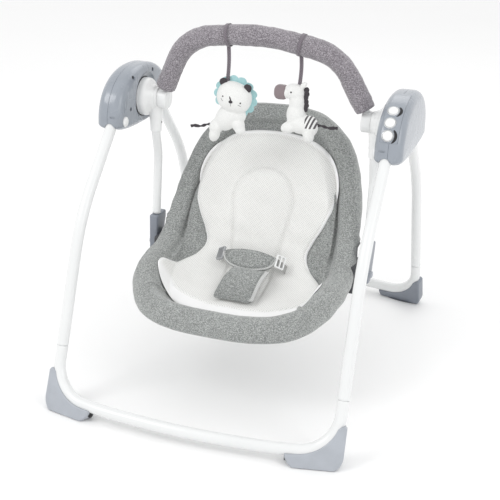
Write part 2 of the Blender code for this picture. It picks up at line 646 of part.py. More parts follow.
# ---------------------------------------------------------------- swing: housings, arms, drive
def swing_side(side, hand):
    dome = [
        (0, 0), (HOUSING_R - 0.001, 0), (HOUSING_R, 0.001), (HOUSING_R, 0.009),
        (HOUSING_R - 0.004, 0.015), (HOUSING_R - 0.010, 0.021), (0.0225, 0.0265),
        (TOY_CAP_R + 0.001, 0.029), (TOY_CAP_R + 0.001, HOUSING_IN - TOY_CAP_OUT - GAP), (0, 0)]
    dome[-1] = (0, HOUSING_IN - TOY_CAP_OUT - GAP)
    housing = turned(hand + "_swing_housing", dome, along_x(-side, -HOUSING_IN), WHITE_PLASTIC)
    collar = cylinder(hand + "_arm_collar", (side * ARM_X, 0, PIVOT_Z - 0.012),
                      (side * ARM_X, 0, COLLAR_END_Z), COLLAR_R + 0.0015, r_end=COLLAR_R)
    arm_corners = [
        (side * ARM_X, 0, PIVOT_Z - 0.030), (side * ARM_X, 0.001, COLLAR_END_Z - 0.006),
        (side * ARM_X, ARM_BACK_Y, ARM_BOW_Z), (side * ARM_X, ARM_END_Y, ARM_END_Z + ARM_LIFT)]
    arm_path = rounded(arm_corners, (0.10, 0.10))
    join(housing, collar)
    cut(housing, tube(hand + "_arm_room", arm_path, ARM_R + GAP),
        cylinder(hand + "_cap_room", (side * 0.18, 0, PIVOT_Z),
                 (side * (TOY_CAP_OUT + GAP / 2), 0, PIVOT_Z), TOY_CAP_R + 0.0008),
        cylinder(hand + "_housing_bore", (side * 0.19, 0, PIVOT_Z), (side * 0.26, 0, PIVOT_Z),
                 SHAFT_R + GAP))
    arm_path[0] = arm_path[0] - Vector((0, 0, GAP))
    tube(hand + "_arm_tube", arm_path, ARM_R, WHITE_PAINT)
    cylinder(hand + "_pivot_shaft", (side * SHAFT_END, 0, PIVOT_Z),
             (side * (HUB_OUT - HUB_WALL - 0.0035), 0, PIVOT_Z), SHAFT_R, STEEL, sides=24)
    outline = [
        (BRACKET_FRONT_Y, ARM_END_Z - GAP), (BRACKET_FRONT_Y, BRACKET_LOW_Z),
        (BRACKET_TOE_Y, BRACKET_LOW_Z), (BRACKET_BACK_Y, ARM_END_Z - 0.014),
        (BRACKET_BACK_Y, ARM_END_Z - GAP)]
    xs = sorted((side * BRACKET_IN, side * BRACKET_OUT))
    upright = Matrix(((0, 0, 1, 0), (1, 0, 0, 0), (0, 1, 0, 0), (0, 0, 0, 1)))
    bracket = slab(hand + "_arm_bracket", outline, xs[0], xs[1], upright, GREY_PLASTIC, 0.003)
    well = cylinder(hand + "_recline_well", (side * (BRACKET_OUT - 0.009), RECLINE_Y, RECLINE_Z),
                    (side * 0.24, RECLINE_Y, RECLINE_Z), RECLINE_R + GAP)
    stud_hole = cylinder(hand + "_stud_hole", (side * 0.20, RECLINE_Y, RECLINE_Z),
                         (side * (BRACKET_IN + 0.005), RECLINE_Y, RECLINE_Z), PIN_R + RUN)
    cut(bracket, well, stud_hole)
    knob_end = BRACKET_OUT + 0.0045
    knob = cylinder(hand + "_recline_button",
                    (side * (BRACKET_OUT - 0.0060), RECLINE_Y, RECLINE_Z),
                    (side * knob_end, RECLINE_Y, RECLINE_Z), RECLINE_R, DARK_PLASTIC)
    pivoted(knob, (side * BRACKET_OUT, RECLINE_Y, RECLINE_Z))


for side, hand in ((-1, "left"), (1, "right")):
    swing_side(side, hand)

LEVER_X = 0.2470
LEVER_T = 0.0040
lever = cylinder("magnet_lever", (LEVER_X, 0, PIVOT_Z), (LEVER_X + LEVER_T, 0, PIVOT_Z), 0.0095,
                 WHITE_PLASTIC)
join(lever, box("lever_blade", (LEVER_X + 0.0003, -0.0050, COIL_Z - 0.004),
                (LEVER_X + LEVER_T - 0.0003, 0.0050, PIVOT_Z - 0.003)))
join(lever, cylinder("magnet", (LEVER_X + 0.001, 0, COIL_Z), (LEVER_X + LEVER_T + 0.006, 0, COIL_Z),
                     0.0070))
cut(lever, cylinder("lever_bore", (0.24, 0, PIVOT_Z), (0.26, 0, PIVOT_Z), SHAFT_R + GAP))


# ---------------------------------------------------------------- seat
def seat_line(q):
    """A point and heading on the seat's centre line, q metres from its front."""
    y, z = SEAT_FRONT
    heading = math.radians(SEAT_HEADING)
    for length, turn_deg in SEAT_RUNS:
        part = min(q, length)
        bend = math.radians(turn_deg) / length
        ahead = heading + bend * part
        y += (math.sin(ahead) - math.sin(heading)) / bend
        z += (math.cos(heading) - math.cos(ahead)) / bend
        heading = ahead
        q -= part
        if q <= 0:
            break
    else:
        y += q * math.cos(heading)
        z += q * math.sin(heading)
    return y, z, heading


SEAT_LONG = sum(length for length, _ in SEAT_RUNS)


def rim_height(q):
    return RIM_BASE + RIM_BUMP * math.exp(-(((q - RIM_BUMP_AT) / RIM_BUMP_WIDE) ** 2))


def outline_at(t, grow=1.0, half_w=SEAT_HALF_W):
    """The seat's outline laid flat: x across and q along, at angle t."""
    c, s = math.cos(t), math.sin(t)
    q = SEAT_LONG / 2 + grow * SEAT_LONG / 2 * math.copysign(abs(s) ** (2 / SEAT_POWER), s)
    x = grow * half_w * math.copysign(abs(c) ** (2 / SEAT_POWER), c)
    return x * (1 - SEAT_TAPER * (2 * q / SEAT_LONG - 1)), q


def seat_place(x, q, h):
    """A point h above the seat's centre-line surface."""
    y, z, heading = seat_line(q)
    return Vector((x, y - h * math.sin(heading), z + h * math.cos(heading)))


def rim_offset(t, out, up):
    """A point beside the rim: out from its outline and up from its middle."""
    x, q = outline_at(t)
    xa, qa = outline_at(t - 0.02)
    xb, qb = outline_at(t + 0.02)
    along = Vector((xb - xa, qb - qa)).normalized()
    return seat_place(x + along.y * out, q - along.x * out, rim_height(q) + up)


def bowl(name, rings, mat, steps=28):
    """A closed soft solid from rings of points round the seat, from its top pole to its lower."""
    bm = bmesh.new()
    made = []
    for ring in rings:
        if callable(ring):
            made.append([bm.verts.new(ring(2 * math.pi * k / steps)) for k in range(steps)])
        else:
            made.append([bm.verts.new(ring)])
    for a, b in zip(made, made[1:]):
        for k in range(steps):
            corners = [a[k % len(a)], a[(k + 1) % len(a)], b[(k + 1) % len(b)], b[k % len(b)]]
            bm.faces.new(list(dict.fromkeys(corners)))
    return solid_from(name, bm, mat)


def floor_ring(share, lift, waist=0.0):
    """A ring of the bowl's floor at a share of the outline, lifted off its surface."""
    def at(t):
        x, q = outline_at(t, share)
        x *= 1 - waist * math.exp(-(((q - INSERT_WAIST_AT) / INSERT_WAIST_WIDE) ** 2))
        rise = min(1.0, abs(x) / SEAT_HALF_W) ** 3
        return seat_place(x, q, FLOOR_RISE * rise + lift)
    return at


def roll_ring(angle):
    """A ring of the padded rim; the angle runs from inside, over the top, to outside."""
    def at(t):
        return rim_offset(t, -RIM_R * math.cos(angle), RIM_R * math.sin(angle) - 0.004)
    return at


middle_q = SEAT_LONG / 2
floor_shares = (0.17, 0.34, 0.50, 0.66)
under_shares = (0.84, 0.60, 0.30)
cover = bowl("seat_cover", [
    seat_place(0, middle_q, 0), *(floor_ring(share, 0) for share in floor_shares),
    floor_ring(0.80, 0), *(roll_ring(math.radians(a)) for a in (25, 65, 105, 145, 190, 235)),
    *(floor_ring(share, -SEAT_WALL) for share in under_shares),
    seat_place(0, middle_q, -SEAT_WALL)], GREY_FABRIC)

insert_top = INSERT_LIFT + INSERT_T
bowl("infant_insert", [
    seat_place(0, middle_q, insert_top),
    *(floor_ring(share, insert_top, INSERT_WAIST) for share in floor_shares),
    floor_ring(INSERT_SPAN, insert_top - INSERT_T / 2, INSERT_WAIST),
    *(floor_ring(share, INSERT_LIFT, INSERT_WAIST) for share in floor_shares[::-1]),
    seat_place(0, middle_q, INSERT_LIFT)], WHITE_FABRIC)


def rim_angle(y_at):
    """The angle round the outline where the right side of the rim passes a given Y."""
    return min((abs(rim_offset(t, 0, 0).y - y_at), t)
               for t in (math.radians(-70 + 0.25 * k) for k in range(480)))[1]


def rim_path(start, end, steps):
    return [rim_offset(start + (end - start) * k / steps, 0, -0.004) for k in range(steps + 1)]


# Two bent steel hoops inside the padded rim, one round the front and one round the back.
front_start = rim_angle(SOCKET_FRONT_Y + HOOP_INSET)
back_start = rim_angle(-HOOP_INSET)
hoops = []
for name, path in (("seat_hoop", rim_path(front_start, -math.pi - front_start, 24)),
                   ("back_hoop", rim_path(back_start, math.pi - back_start, 28))):
    hoops.append(tube(name, path, HOOP_R, STEEL, resolution=2))
    cut(cover, tube(name + "_tunnel", path, HOOP_R + GAP, resolution=2))

# Side blocks that carry the hoops; each has a stud that turns in its arm bracket.
for side, hand in ((-1, "left"), (1, "right")):
    xs = sorted((side * SOCKET_IN, side * SOCKET_OUT))
    low = Vector((xs[0], SOCKET_FRONT_Y, SOCKET_LOW_Z))
    high = Vector((xs[1], SOCKET_BACK_Y, SOCKET_HIGH_Z))
    socket = box(hand + "_seat_socket", low, high, DARK_PLASTIC)
    join(socket, cylinder(hand + "_stud", (side * (SOCKET_OUT - 0.004), RECLINE_Y, RECLINE_Z),
                          (side * (BRACKET_IN + 0.0045), RECLINE_Y, RECLINE_Z), PIN_R))
    pad_off = Vector((0.002, 0.002, 0.002))
    room = box(hand + "_socket_room", low - pad_off - Vector((0, 0, 0.03)), high + pad_off)
    cut(cover, room)
    skin = Vector((GAP, GAP, GAP))
    for rod in hoops:
        cut(rod, box(f"{hand}_{rod.name}_end", low - skin, high + skin))


def strip(name, q_from, q_to, width, low, rise, bow, mat, steps=8):
    """A soft strap along the middle of the seat, climbing off it and bowed up in between."""
    bm = bmesh.new()
    rings = []
    for k in range(steps + 1):
        share = k / steps
        q = q_from + (q_to - q_from) * share
        lift = low + rise * share + bow * math.sin(math.pi * share)
        w = width(share)
        corners = ((-w, lift), (w, lift), (w, lift + STRAP_T), (-w, lift + STRAP_T))
        rings.append([bm.verts.new(seat_place(x, q, h)) for x, h in corners])
    for a, b in zip(rings, rings[1:]):
        for k in range(4):
            bm.faces.new((a[k], a[(k + 1) % 4], b[(k + 1) % 4], b[k]))
    bm.faces.new(rings[0][::-1])
    bm.faces.new(rings[-1])
    return solid_from(name, bm, mat)


strap_low = insert_top + 0.003
strap_rise = 0.022
strip("crotch_strap", 0.1050, 0.1860, lambda s: 0.038 - 0.006 * s, strap_low, strap_rise, 0.010,
      GREY_FABRIC)
strip("waist_pad", 0.1880, 0.2300, lambda s: 0.030 + 0.022 * math.sqrt(s), strap_low + strap_rise,
      0.006, 0.003, GREY_FABRIC)


# ---------------------------------------------------------------- toy bar and its toys
def leaned(x, rise):
    """A point in the toy bar's plane, a given rise above the swing axis."""
    return Vector((x, -rise * math.sin(TOY_BAR_LEAN), PIVOT_Z + rise * math.cos(TOY_BAR_LEAN)))


bar_corners = [(TOY_BAR_HALF, 0.0), (TOY_BAR_HALF, 0.014), (0.143, 0.118), (0, TOY_BAR_TOP),
               (-0.150, 0.126), (-TOY_BAR_HALF, 0.014), (-TOY_BAR_HALF, 0.0)]
bar_radii = (0.03, TOY_CORNER_R, 0.40, TOY_CORNER_R, 0.03)
bar_path = rounded([leaned(x, z) for x, z in bar_corners], bar_radii)


def risen(path, rise):
    """The part of an arch that is above a rise over the swing axis."""
    kept = []
    for a, b in zip(path, path[1:]):
        ends = sorted((a, b), key=lambda p: p.z)
        if ends[0].z < PIVOT_Z + rise < ends[1].z:
            share = (PIVOT_Z + rise - ends[0].z) / (ends[1].z - ends[0].z)
            kept.append(ends[0].lerp(ends[1], share))
        if b.z > PIVOT_Z + rise:
            kept.append(b)
    return kept


tube("toy_bar_tube", risen(bar_path, BAR_START), TOY_BAR_R, WHITE_PLASTIC, resolution=2)
pad = tube("toy_bar_cover", risen(bar_path, TOY_PAD_START), TOY_PAD_R, KNIT)
cut(pad, tube("toy_bar_bore", risen(bar_path, BAR_START), TOY_PAD_BORE, resolution=2))
for side, hand in ((-1, "left"), (1, "right")):
    cap = cylinder(hand + "_toy_bar_socket", (side * TOY_CAP_IN, 0, PIVOT_Z),
                   (side * TOY_CAP_OUT, 0, PIVOT_Z), TOY_CAP_R, WHITE_PLASTIC)
    join(cap, cylinder(hand + "_toy_bar_neck", leaned(side * TOY_BAR_HALF, 0.008),
                       leaned(side * TOY_BAR_HALF, 0.0195), 0.0085, sides=12))
    cut(cap, tube(hand + "_neck_room", risen(bar_path, BAR_START - GAP), TOY_BAR_R + GAP,
                  resolution=2),
        cylinder(hand + "_cap_bore", (side * (SHAFT_END - 0.0005), 0, PIVOT_Z),
                 (side * 0.22, 0, PIVOT_Z), SHAFT_R + RUN, sides=24))


def bar_at(x):
    """The toy bar's centre and direction where it passes a given X."""
    for a, b in zip(bar_path, bar_path[1:]):
        if min(a.x, b.x) <= x <= max(a.x, b.x):
            return a.lerp(b, (x - a.x) / (b.x - a.x)), (a - b).normalized()
    return bar_path[0], Vector((1, 0, 0))


def blob(name, at, size, mat=None, lean=0.0):
    """A round, oval body part."""
    bm = bmesh.new()
    shape = Matrix.Translation(at) @ Matrix.Rotation(lean, 4, "Y") @ Matrix.Diagonal((*size, 1.0))
    bmesh.ops.create_uvsphere(bm, u_segments=8, v_segments=6, radius=1.0, matrix=shape)
    return solid_from(name, bm, mat)


def toy(x, ribbon, name, bits, top):
    """A ribbon looped over the bar and a body of round bits, with levels above the swing axis."""
    top_z = PIVOT_Z + top
    centre, tangent = bar_at(x)
    square = tangent.cross(Vector((0, 1, 0))).normalized()
    place = Matrix.Translation(centre) @ Vector((0, 0, 1)).rotation_difference(tangent).to_matrix().to_4x4()
    r = TOY_PAD_R + GAP
    loop = turned(ribbon, [(r, -RIBBON_W / 2), (r + RIBBON_T, -RIBBON_W / 2),
                           (r + RIBBON_T, RIBBON_W / 2), (r, RIBBON_W / 2), (r, -RIBBON_W / 2)],
                  place, KNIT, sides=24)
    tail_top = centre.z - r - RIBBON_T / 2
    join(loop, box(ribbon + "_tail", (centre.x - RIBBON_W / 2, centre.y - RIBBON_T / 2, top_z + GAP),
                   (centre.x + RIBBON_W / 2, centre.y + RIBBON_T / 2, tail_top)))
    made = None
    for k, (dx, dy, z, w, d, h, lean) in enumerate(bits):
        spot = Vector((centre.x + dx, centre.y + dy, PIVOT_Z + z))
        bit = blob(f"{name}_{k}" if k else name, spot, (w, d, h), None if k else PLUSH, lean)
        made = join(made, bit) if made else bit
    knob = cylinder(name + "_tab", (centre.x, centre.y, top_z - 0.024), (centre.x, centre.y, top_z),
                    0.003, sides=10)
    join(made, knob)
    for piece in (loop, made):
        pivoted(piece, centre)


toy(TOY_X[0], "cub_ribbon", "cub_toy", [
    (0.018, -0.002, 0.0230, 0.0330, 0.0230, 0.0270, 0.0),
    (-0.012, -0.006, 0.0190, 0.0140, 0.0100, 0.0180, 0.0),
    (0.048, -0.006, 0.0230, 0.0140, 0.0100, 0.0180, 0.0),
    (0.000, 0.000, -0.0230, 0.0250, 0.0210, 0.0290, 0.3),
    (-0.028, -0.004, -0.0380, 0.0160, 0.0110, 0.0110, 0.7),
    (0.034, -0.004, -0.0330, 0.0150, 0.0100, 0.0110, -0.5),
    (-0.020, -0.008, -0.0520, 0.0120, 0.0120, 0.0150, 0.1),
    (0.018, -0.008, -0.0460, 0.0120, 0.0120, 0.0140, -0.2)], 0.0550)
toy(TOY_X[1], "foal_ribbon", "foal_toy", [
    (-0.005, 0.000, 0.0440, 0.0150, 0.0130, 0.0150, 0.2),
    (-0.021, -0.003, 0.0380, 0.0130, 0.0110, 0.0090, -0.3),
    (-0.001, 0.000, 0.0210, 0.0120, 0.0110, 0.0250, 0.0),
    (0.011, 0.000, -0.0030, 0.0260, 0.0160, 0.0170, 0.2),
    (-0.011, -0.007, -0.0170, 0.0075, 0.0080, 0.0210, 0.4),
    (-0.001, 0.006, -0.0190, 0.0075, 0.0080, 0.0200, 0.1),
    (0.025, -0.007, -0.0190, 0.0080, 0.0080, 0.0200, -0.2),
    (0.031, 0.006, -0.0170, 0.0080, 0.0080, 0.0190, -0.4)], 0.0600)
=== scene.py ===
"""The finished look of a folding baby swing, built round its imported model.

Metres, +Z up, the baby faces -Y. Every new piece is a surface worked out with numpy:
rings of points carried along a path, turned about an axis, or laid over the seat.
"""

import math

import bmesh
import bpy
import numpy as np
from mathutils import Matrix, Vector


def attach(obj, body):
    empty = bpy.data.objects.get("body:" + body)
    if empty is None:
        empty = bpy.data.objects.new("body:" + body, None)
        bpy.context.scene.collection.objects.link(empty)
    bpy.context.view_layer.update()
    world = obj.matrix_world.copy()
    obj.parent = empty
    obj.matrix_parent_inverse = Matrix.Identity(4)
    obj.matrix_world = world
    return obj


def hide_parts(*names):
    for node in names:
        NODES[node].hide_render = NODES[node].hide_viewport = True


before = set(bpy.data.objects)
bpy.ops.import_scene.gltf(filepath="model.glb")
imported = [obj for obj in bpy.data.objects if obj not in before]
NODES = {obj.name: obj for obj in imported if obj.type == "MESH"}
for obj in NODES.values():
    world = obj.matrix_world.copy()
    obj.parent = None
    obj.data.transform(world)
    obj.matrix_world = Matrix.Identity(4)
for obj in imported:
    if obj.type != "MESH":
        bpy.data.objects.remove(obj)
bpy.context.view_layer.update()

# ---------------------------------------------------------------- sizes shared with the frame
TUBE_R = 0.0105
PIVOT = np.array((0.0, 0.0, 0.5))
LEG_TOP_X, LEG_SEAM_X = 0.2592, 0.2627
BASE_CORNERS = ((0.2634, 0.350, 0.023), (0.150, 0.3745, 0.023), (0, 0.3852, 0.023))
BASE_CORNER_R, BASE_BOW_R, BASE_MID_R = 0.07, 0.55, 0.9
LEG_PIVOT_Y = 0.075
UPPER_LEAN = math.radians(43.4)
LOWER_LEAN = math.radians(19.8)
LEG_BEND_Z = 0.327
LEG_SEAM_Z = 0.1073
HUB_IN, HUB_SPLIT, HUB_OUT = 0.2380, 0.2640, 0.2900
HUB_HALF, HUB_MID_Z, HUB_RISE, HUB_DROP, HUB_POWER = 0.118, 0.468, 0.094, 0.020, 2.3
TOY_LEAN = math.radians(6.0)
HANDS = ((-1, "left"), (1, "right"))
DOT = 1e-4                    # radius of a turned piece's closed middle


# ---------------------------------------------------------------- geometry helpers
def grid_faces(rows, cols, close_rows, close_cols):
    """Quads between neighbouring rows and columns, wrapped where a direction closes."""
    r = np.arange(rows if close_rows else rows - 1)
    c = np.arange(cols if close_cols else cols - 1)
    r, c = np.meshgrid(r, c, indexing="ij")
    r2, c2 = (r + 1) % rows, (c + 1) % cols
    return np.stack([r * cols + c, r * cols + c2, r2 * cols + c2, r2 * cols + c], -1).reshape(-1, 4)


def volume(points, faces):
    """Six times the signed volume inside quads: the sum of a . (b x c) over their halves."""
    a, b, c, d = (points[faces[:, k]] for k in range(4))
    return float((a * np.cross(b, c)).sum() + (a * np.cross(c, d)).sum())


def mesh_object(name, points, faces, ends=()):
    """A mesh object from points, quads and any flat end faces, turned to face outwards."""
    points = np.asarray(points, float).reshape(-1, 3)
    middle = points.mean(axis=0)
    lists = faces.tolist() + [list(e) for e in ends]
    if volume(points - middle, faces) < 0:
        lists = [face[::-1] for face in lists]
    mesh = bpy.data.meshes.new(name)
    mesh.from_pydata(points.tolist(), [], lists)
    mesh.validate()
    mesh.shade_smooth()
    made = bpy.data.objects.new(name, mesh)
    bpy.context.scene.collection.objects.link(made)
    return made


def skin(name, rings, closed=False):
    """A solid from rings of points (rings, around, 3); its two ends are flat unless it closes."""
    rings = np.asarray(rings, float)
    rows, cols = rings.shape[:2]
    faces = grid_faces(rows, cols, closed, True)
    ends = ()
    if not closed:
        ends = (range(cols - 1, -1, -1), range((rows - 1) * cols, rows * cols))
    return mesh_object(name, rings, faces, ends)


def crease(thing, degrees=32):
    """Smooth shading with hard edges where two faces meet at more than an angle."""
    thing.data.shade_smooth()
    thing.data.set_sharp_from_angle(angle=math.radians(degrees))
    return thing


def applied(thing):
    """The object with its modifiers made part of its mesh."""
    bpy.context.view_layer.update()
    shape = bpy.data.meshes.new_from_object(
        thing.evaluated_get(bpy.context.evaluated_depsgraph_get()))
    old = thing.data
    thing.modifiers.clear()
    thing.data = shape
    shape.name = thing.name
    bpy.data.meshes.remove(old)
    return thing


def carved(thing, cutters, how="DIFFERENCE"):
    """The object cut by, joined with or kept inside the cutters, which are then removed."""
    for cutter in cutters:
        step = thing.modifiers.new("carve", "BOOLEAN")
        step.operation = how
        step.object = cutter
        step.solver = "EXACT"
    applied(thing)
    for cutter in cutters:
        bpy.data.objects.remove(cutter)
    return crease(thing)


def finish(thing, body, slot, mat, *stands_for):
    """Gives a piece its material, its body and the CAD nodes that it stands for."""
    thing.data.materials.clear()
    thing.data.materials.append(mat)
    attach(thing, body)
    if stands_for:
        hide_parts(*stands_for)
    return thing


def unit(v):
    v = np.asarray(v, float)
    return v / np.maximum(np.linalg.norm(v, axis=-1, keepdims=True), 1e-12)


def run_of(line):
    """How far along a line each of its points lies."""
    return np.concatenate(([0], np.cumsum(np.linalg.norm(np.diff(line, axis=0), axis=1))))


def elbow(before, corner, after, r):
    """Where an arc of radius r that rounds a corner starts, stops and has its middle."""
    a, b = unit(before - corner), unit(after - corner)
    half = math.acos(float(np.clip(a @ b, -1, 1))) / 2
    middle = corner + unit(a + b) * r / math.sin(half)
    return corner + a * r / math.tan(half), corner + b * r / math.tan(half), middle, half


def rounded(corners, radii, spacing=0.004):
    """A path through corners, each turned by an arc of its own radius, with even spacing."""
    corners = [np.asarray(c, float) for c in corners]
    pieces = [corners[0][None]]
    for before, corner, after, r in zip(corners, corners[1:], corners[2:], radii):
        start, stop, middle, half = elbow(before, corner, after, r)
        x = unit(start - middle)
        y = unit((stop - middle) - ((stop - middle) @ x) * x)
        angle = (math.pi - 2 * half) * np.linspace(0, 1, 24)[:, None]
        pieces.append(middle + r * (np.cos(angle) * x + np.sin(angle) * y))
    pieces.append(corners[-1][None])
    line = np.concatenate(pieces)
    far = run_of(line)
    at = np.linspace(0, far[-1], max(8, int(far[-1] / spacing)))
    return np.stack([np.interp(at, far, line[:, k]) for k in range(3)], -1)


def circle(count, a=1.0, b=None):
    """Points of an ellipse with half axes a and b."""
    t = np.linspace(0, 2 * math.pi, count, endpoint=False)
    return np.stack([a * np.cos(t), (a if b is None else b) * np.sin(t)], -1)


def swept(path, section, ref):
    """The section's (a, b) offsets carried along a path: a along ref x tangent, b across both."""
    tangent = unit(np.gradient(path, axis=0))
    side = unit(np.cross(np.asarray(ref, float), tangent))
    lift = np.cross(tangent, side)
    section = np.broadcast_to(section, (len(path), *np.shape(section)[-2:]))
    return (path[:, None] + section[..., :1] * side[:, None] + section[..., 1:] * lift[:, None])


def tube(name, path, radius, ref, sides=40):
    """A round rod along a path; the radius may change along it."""
    radius = np.broadcast_to(np.asarray(radius, float), (len(path),))
    return skin(name, swept(path, circle(sides)[None] * radius[:, None, None], ref))


def turned(name, profile, base, axis, sides=64, closed=False):
    """A profile of (radius, height) points turned about an axis through a base point."""
    profile = np.asarray(profile, float)
    axis = unit(axis)
    spare = np.array((0, 0, 1.0)) if abs(axis[2]) < 0.9 else np.array((0, 1.0, 0))
    x = unit(np.cross(spare, axis))
    y = np.cross(axis, x)
    ring = circle(sides)
    rings = (np.asarray(base, float) + profile[:, None, 1:] * axis
             + profile[:, None, :1] * (ring[None, :, :1] * x + ring[None, :, 1:] * y))
    return crease(skin(name, rings, closed))


def stud(name, profile, base, axis, body, slot, mat, sides=40, *stands_for):
    """A turned piece with its body and material; its slot is not used."""
    return finish(turned(name, profile, base, axis, sides), body, slot, mat, *stands_for)


def arc(r, start, stop, count, cx=0.0, cy=0.0):
    """Points of an arc in a profile, by its angles in degrees."""
    a = np.radians(np.linspace(start, stop, count))
    return np.stack([cx + r * np.cos(a), cy + r * np.sin(a)], -1)


def disc_profile(r, low, high, edge):
    """A rod's profile with both rims rounded."""
    return np.concatenate([
        [(DOT, low)], arc(edge, -90, 0, 5, r - edge, low + edge),
        arc(edge, 0, 90, 5, r - edge, high - edge), [(DOT, high)]])


def from_bmesh(name, bm):
    mesh = bpy.data.meshes.new(name)
    bm.to_mesh(mesh)
    bm.free()
    made = bpy.data.objects.new(name, mesh)
    bpy.context.scene.collection.objects.link(made)
    return made


def block(name, low, high, edge=0.001):
    """A box with rounded edges."""
    low, high = np.minimum(low, high), np.maximum(low, high)
    bm = bmesh.new()
    bmesh.ops.create_cube(bm, size=1.0, matrix=Matrix.Diagonal((*(high - low), 1.0)))
    bmesh.ops.translate(bm, vec=Vector((low + high) / 2), verts=bm.verts)
    if edge:
        bmesh.ops.bevel(bm, geom=bm.edges, offset=edge, segments=3, affect="EDGES", profile=0.5)
    return crease(from_bmesh(name, bm))


def frame_of(x, y, z, at):
    """The 4x4 matrix of three directions and a place."""
    out = np.eye(4)
    out[:3, :3], out[:3, 3] = np.stack([x, y, z], -1), at
    return out


def plate(name, outline, low, high, edge, frame4, steps=5):
    """A flat outline made thick with rounded rims, then put in place by a 4x4 matrix."""
    outline = np.asarray(outline, float)
    ahead = unit(np.roll(outline, -1, 0) - outline)
    behind = unit(outline - np.roll(outline, 1, 0))
    normal = unit(ahead + behind)
    normal = np.stack([-normal[:, 1], normal[:, 0]], -1)
    x, y = outline[:, 0], outline[:, 1]
    if (x * np.roll(y, -1) - np.roll(x, -1) * y).sum() < 0:
        normal = -normal
    a = np.linspace(0, math.pi / 2, steps)
    inset = np.concatenate([edge * (1 - np.sin(a)), edge * (1 - np.cos(a))])
    level = np.concatenate([low + edge * (1 - np.cos(a)), high - edge * (1 - np.sin(a))])
    flat = outline[None] + normal[None] * inset[:, None, None]
    points = np.concatenate([flat, np.broadcast_to(level[:, None, None], (*flat.shape[:2], 1))], -1)
    m = np.asarray(frame4, float)
    return crease(skin(name, points @ m[:3, :3].T + m[:3, 3]))


def filleted(corners, radii, count=6):
    """A closed flat outline with each corner rounded by its own radius."""
    corners = [np.asarray(c, float) for c in corners]
    out = []
    for k, (corner, r) in enumerate(zip(corners, radii)):
        if r <= 0:
            out.append(corner[None])
            continue
        start, stop, middle, _ = elbow(corners[k - 1], corner, corners[(k + 1) % len(corners)], r)
        share = np.linspace(0, 1, count)[:, None]
        sweep = unit((1 - share) * unit(start - middle) + share * unit(stop - middle))
        out.append(middle + sweep * r)
    return np.concatenate(out)


# ---------------------------------------------------------------- materials
def shader(name, colour, rough, metal=0.0, **more):
    """A material with its plain values set straight on the shader's sockets."""
    made = bpy.data.materials.new(name)
    made.use_nodes = True
    tree = made.node_tree
    main = tree.nodes["Principled BSDF"]
    main.inputs["Base Color"].default_value = (*colour, 1)
    main.inputs["Roughness"].default_value = rough
    main.inputs["Metallic"].default_value = metal
    for socket, value in more.items():
        main.inputs[socket.replace("_", " ")].default_value = value
    return made, tree, main


def node(tree, kind, inputs=None, **values):
    """A node with values on it and links or numbers at its inputs."""
    made = tree.nodes.new(kind)
    for key, value in values.items():
        setattr(made, key, value)
    for key, value in (inputs or {}).items():
        if isinstance(value, bpy.types.NodeSocket):
            tree.links.new(value, made.inputs[key])
        else:
            made.inputs[key].default_value = value
    return made


def place(tree, scale=(1, 1, 1)):
    """Object coordinates, in metres, stretched by a scale."""
    source = node(tree, "ShaderNodeTexCoord").outputs["Object"]
    return node(tree, "ShaderNodeMapping", {"Vector": source, "Scale": scale}).outputs["Vector"]


def noise(tree, at, scale, detail=3.0, rough=0.5):
    return node(tree, "ShaderNodeTexNoise",
                {"Vector": at, "Scale": scale, "Detail": detail, "Roughness": rough}).outputs["Fac"]


def ramp(tree, fac, *stops):
    """A colour ramp through (position, colour) stops."""
    made = node(tree, "ShaderNodeValToRGB", {"Fac": fac})
    marks = made.color_ramp.elements
    while len(marks) < len(stops):
        marks.new(0.5)
    for mark, (at, colour) in zip(marks, stops):
        mark.position = at
        mark.color = (*colour, 1)
    return made.outputs["Color"]


def grey(level):
    return (level, level, level)


def sums(tree, kind, a, b):
    return node(tree, "ShaderNodeMath", {0: a, 1: b}, operation=kind).outputs[0]


def mixed(tree, fac, a, b, blend="MIX"):
    made = node(tree, "ShaderNodeMix", {"Factor": fac}, data_type="RGBA", blend_type=blend)
    for socket, value in ((made.inputs[6], a), (made.inputs[7], b)):
        if isinstance(value, bpy.types.NodeSocket):
            tree.links.new(value, socket)
        else:
            socket.default_value = (*value, 1)
    return made.outputs[2]


def tinted(tree, main, colour):
    tree.links.new(colour, main.inputs["Base Color"])


def glossed(tree, main, fac, low, high):
    """Roughness that runs from low to high over the middle of a pattern."""
    tree.links.new(ramp(tree, fac, (0.3, grey(low)), (0.7, grey(high))), main.inputs["Roughness"])


def dimmed(colour, share):
    return tuple(c * share for c in colour)


def bumped(tree, main, height, strength, distance):
    bump = node(tree, "ShaderNodeBump", {"Height": height, "Strength": strength,
                                         "Distance": distance})
    tree.links.new(bump.outputs["Normal"], main.inputs["Normal"])


def moulded(name, colour, rough, grain=0.25, coat=0.0, spread=0.03):
    """Moulded plastic: a fine spark-eroded grain, faint flow marks and uneven gloss."""
    made, tree, main = shader(name, colour, rough, Coat_Weight=coat, Coat_Roughness=0.12)
    at = place(tree)
    cloud = noise(tree, at, 28.0, 4.0)
    tinted(tree, main, ramp(tree, cloud, (0.35, dimmed(colour, 1 - spread)),
                            (0.65, dimmed(colour, 1 + spread))))
    smear = noise(tree, place(tree, (40, 40, 14)), 1.2, 2.0)
    glossed(tree, main, smear, rough * 0.94, rough * 1.07)
    bumped(tree, main, noise(tree, at, 2600.0, 2.0), grain, 0.000012)
    return made


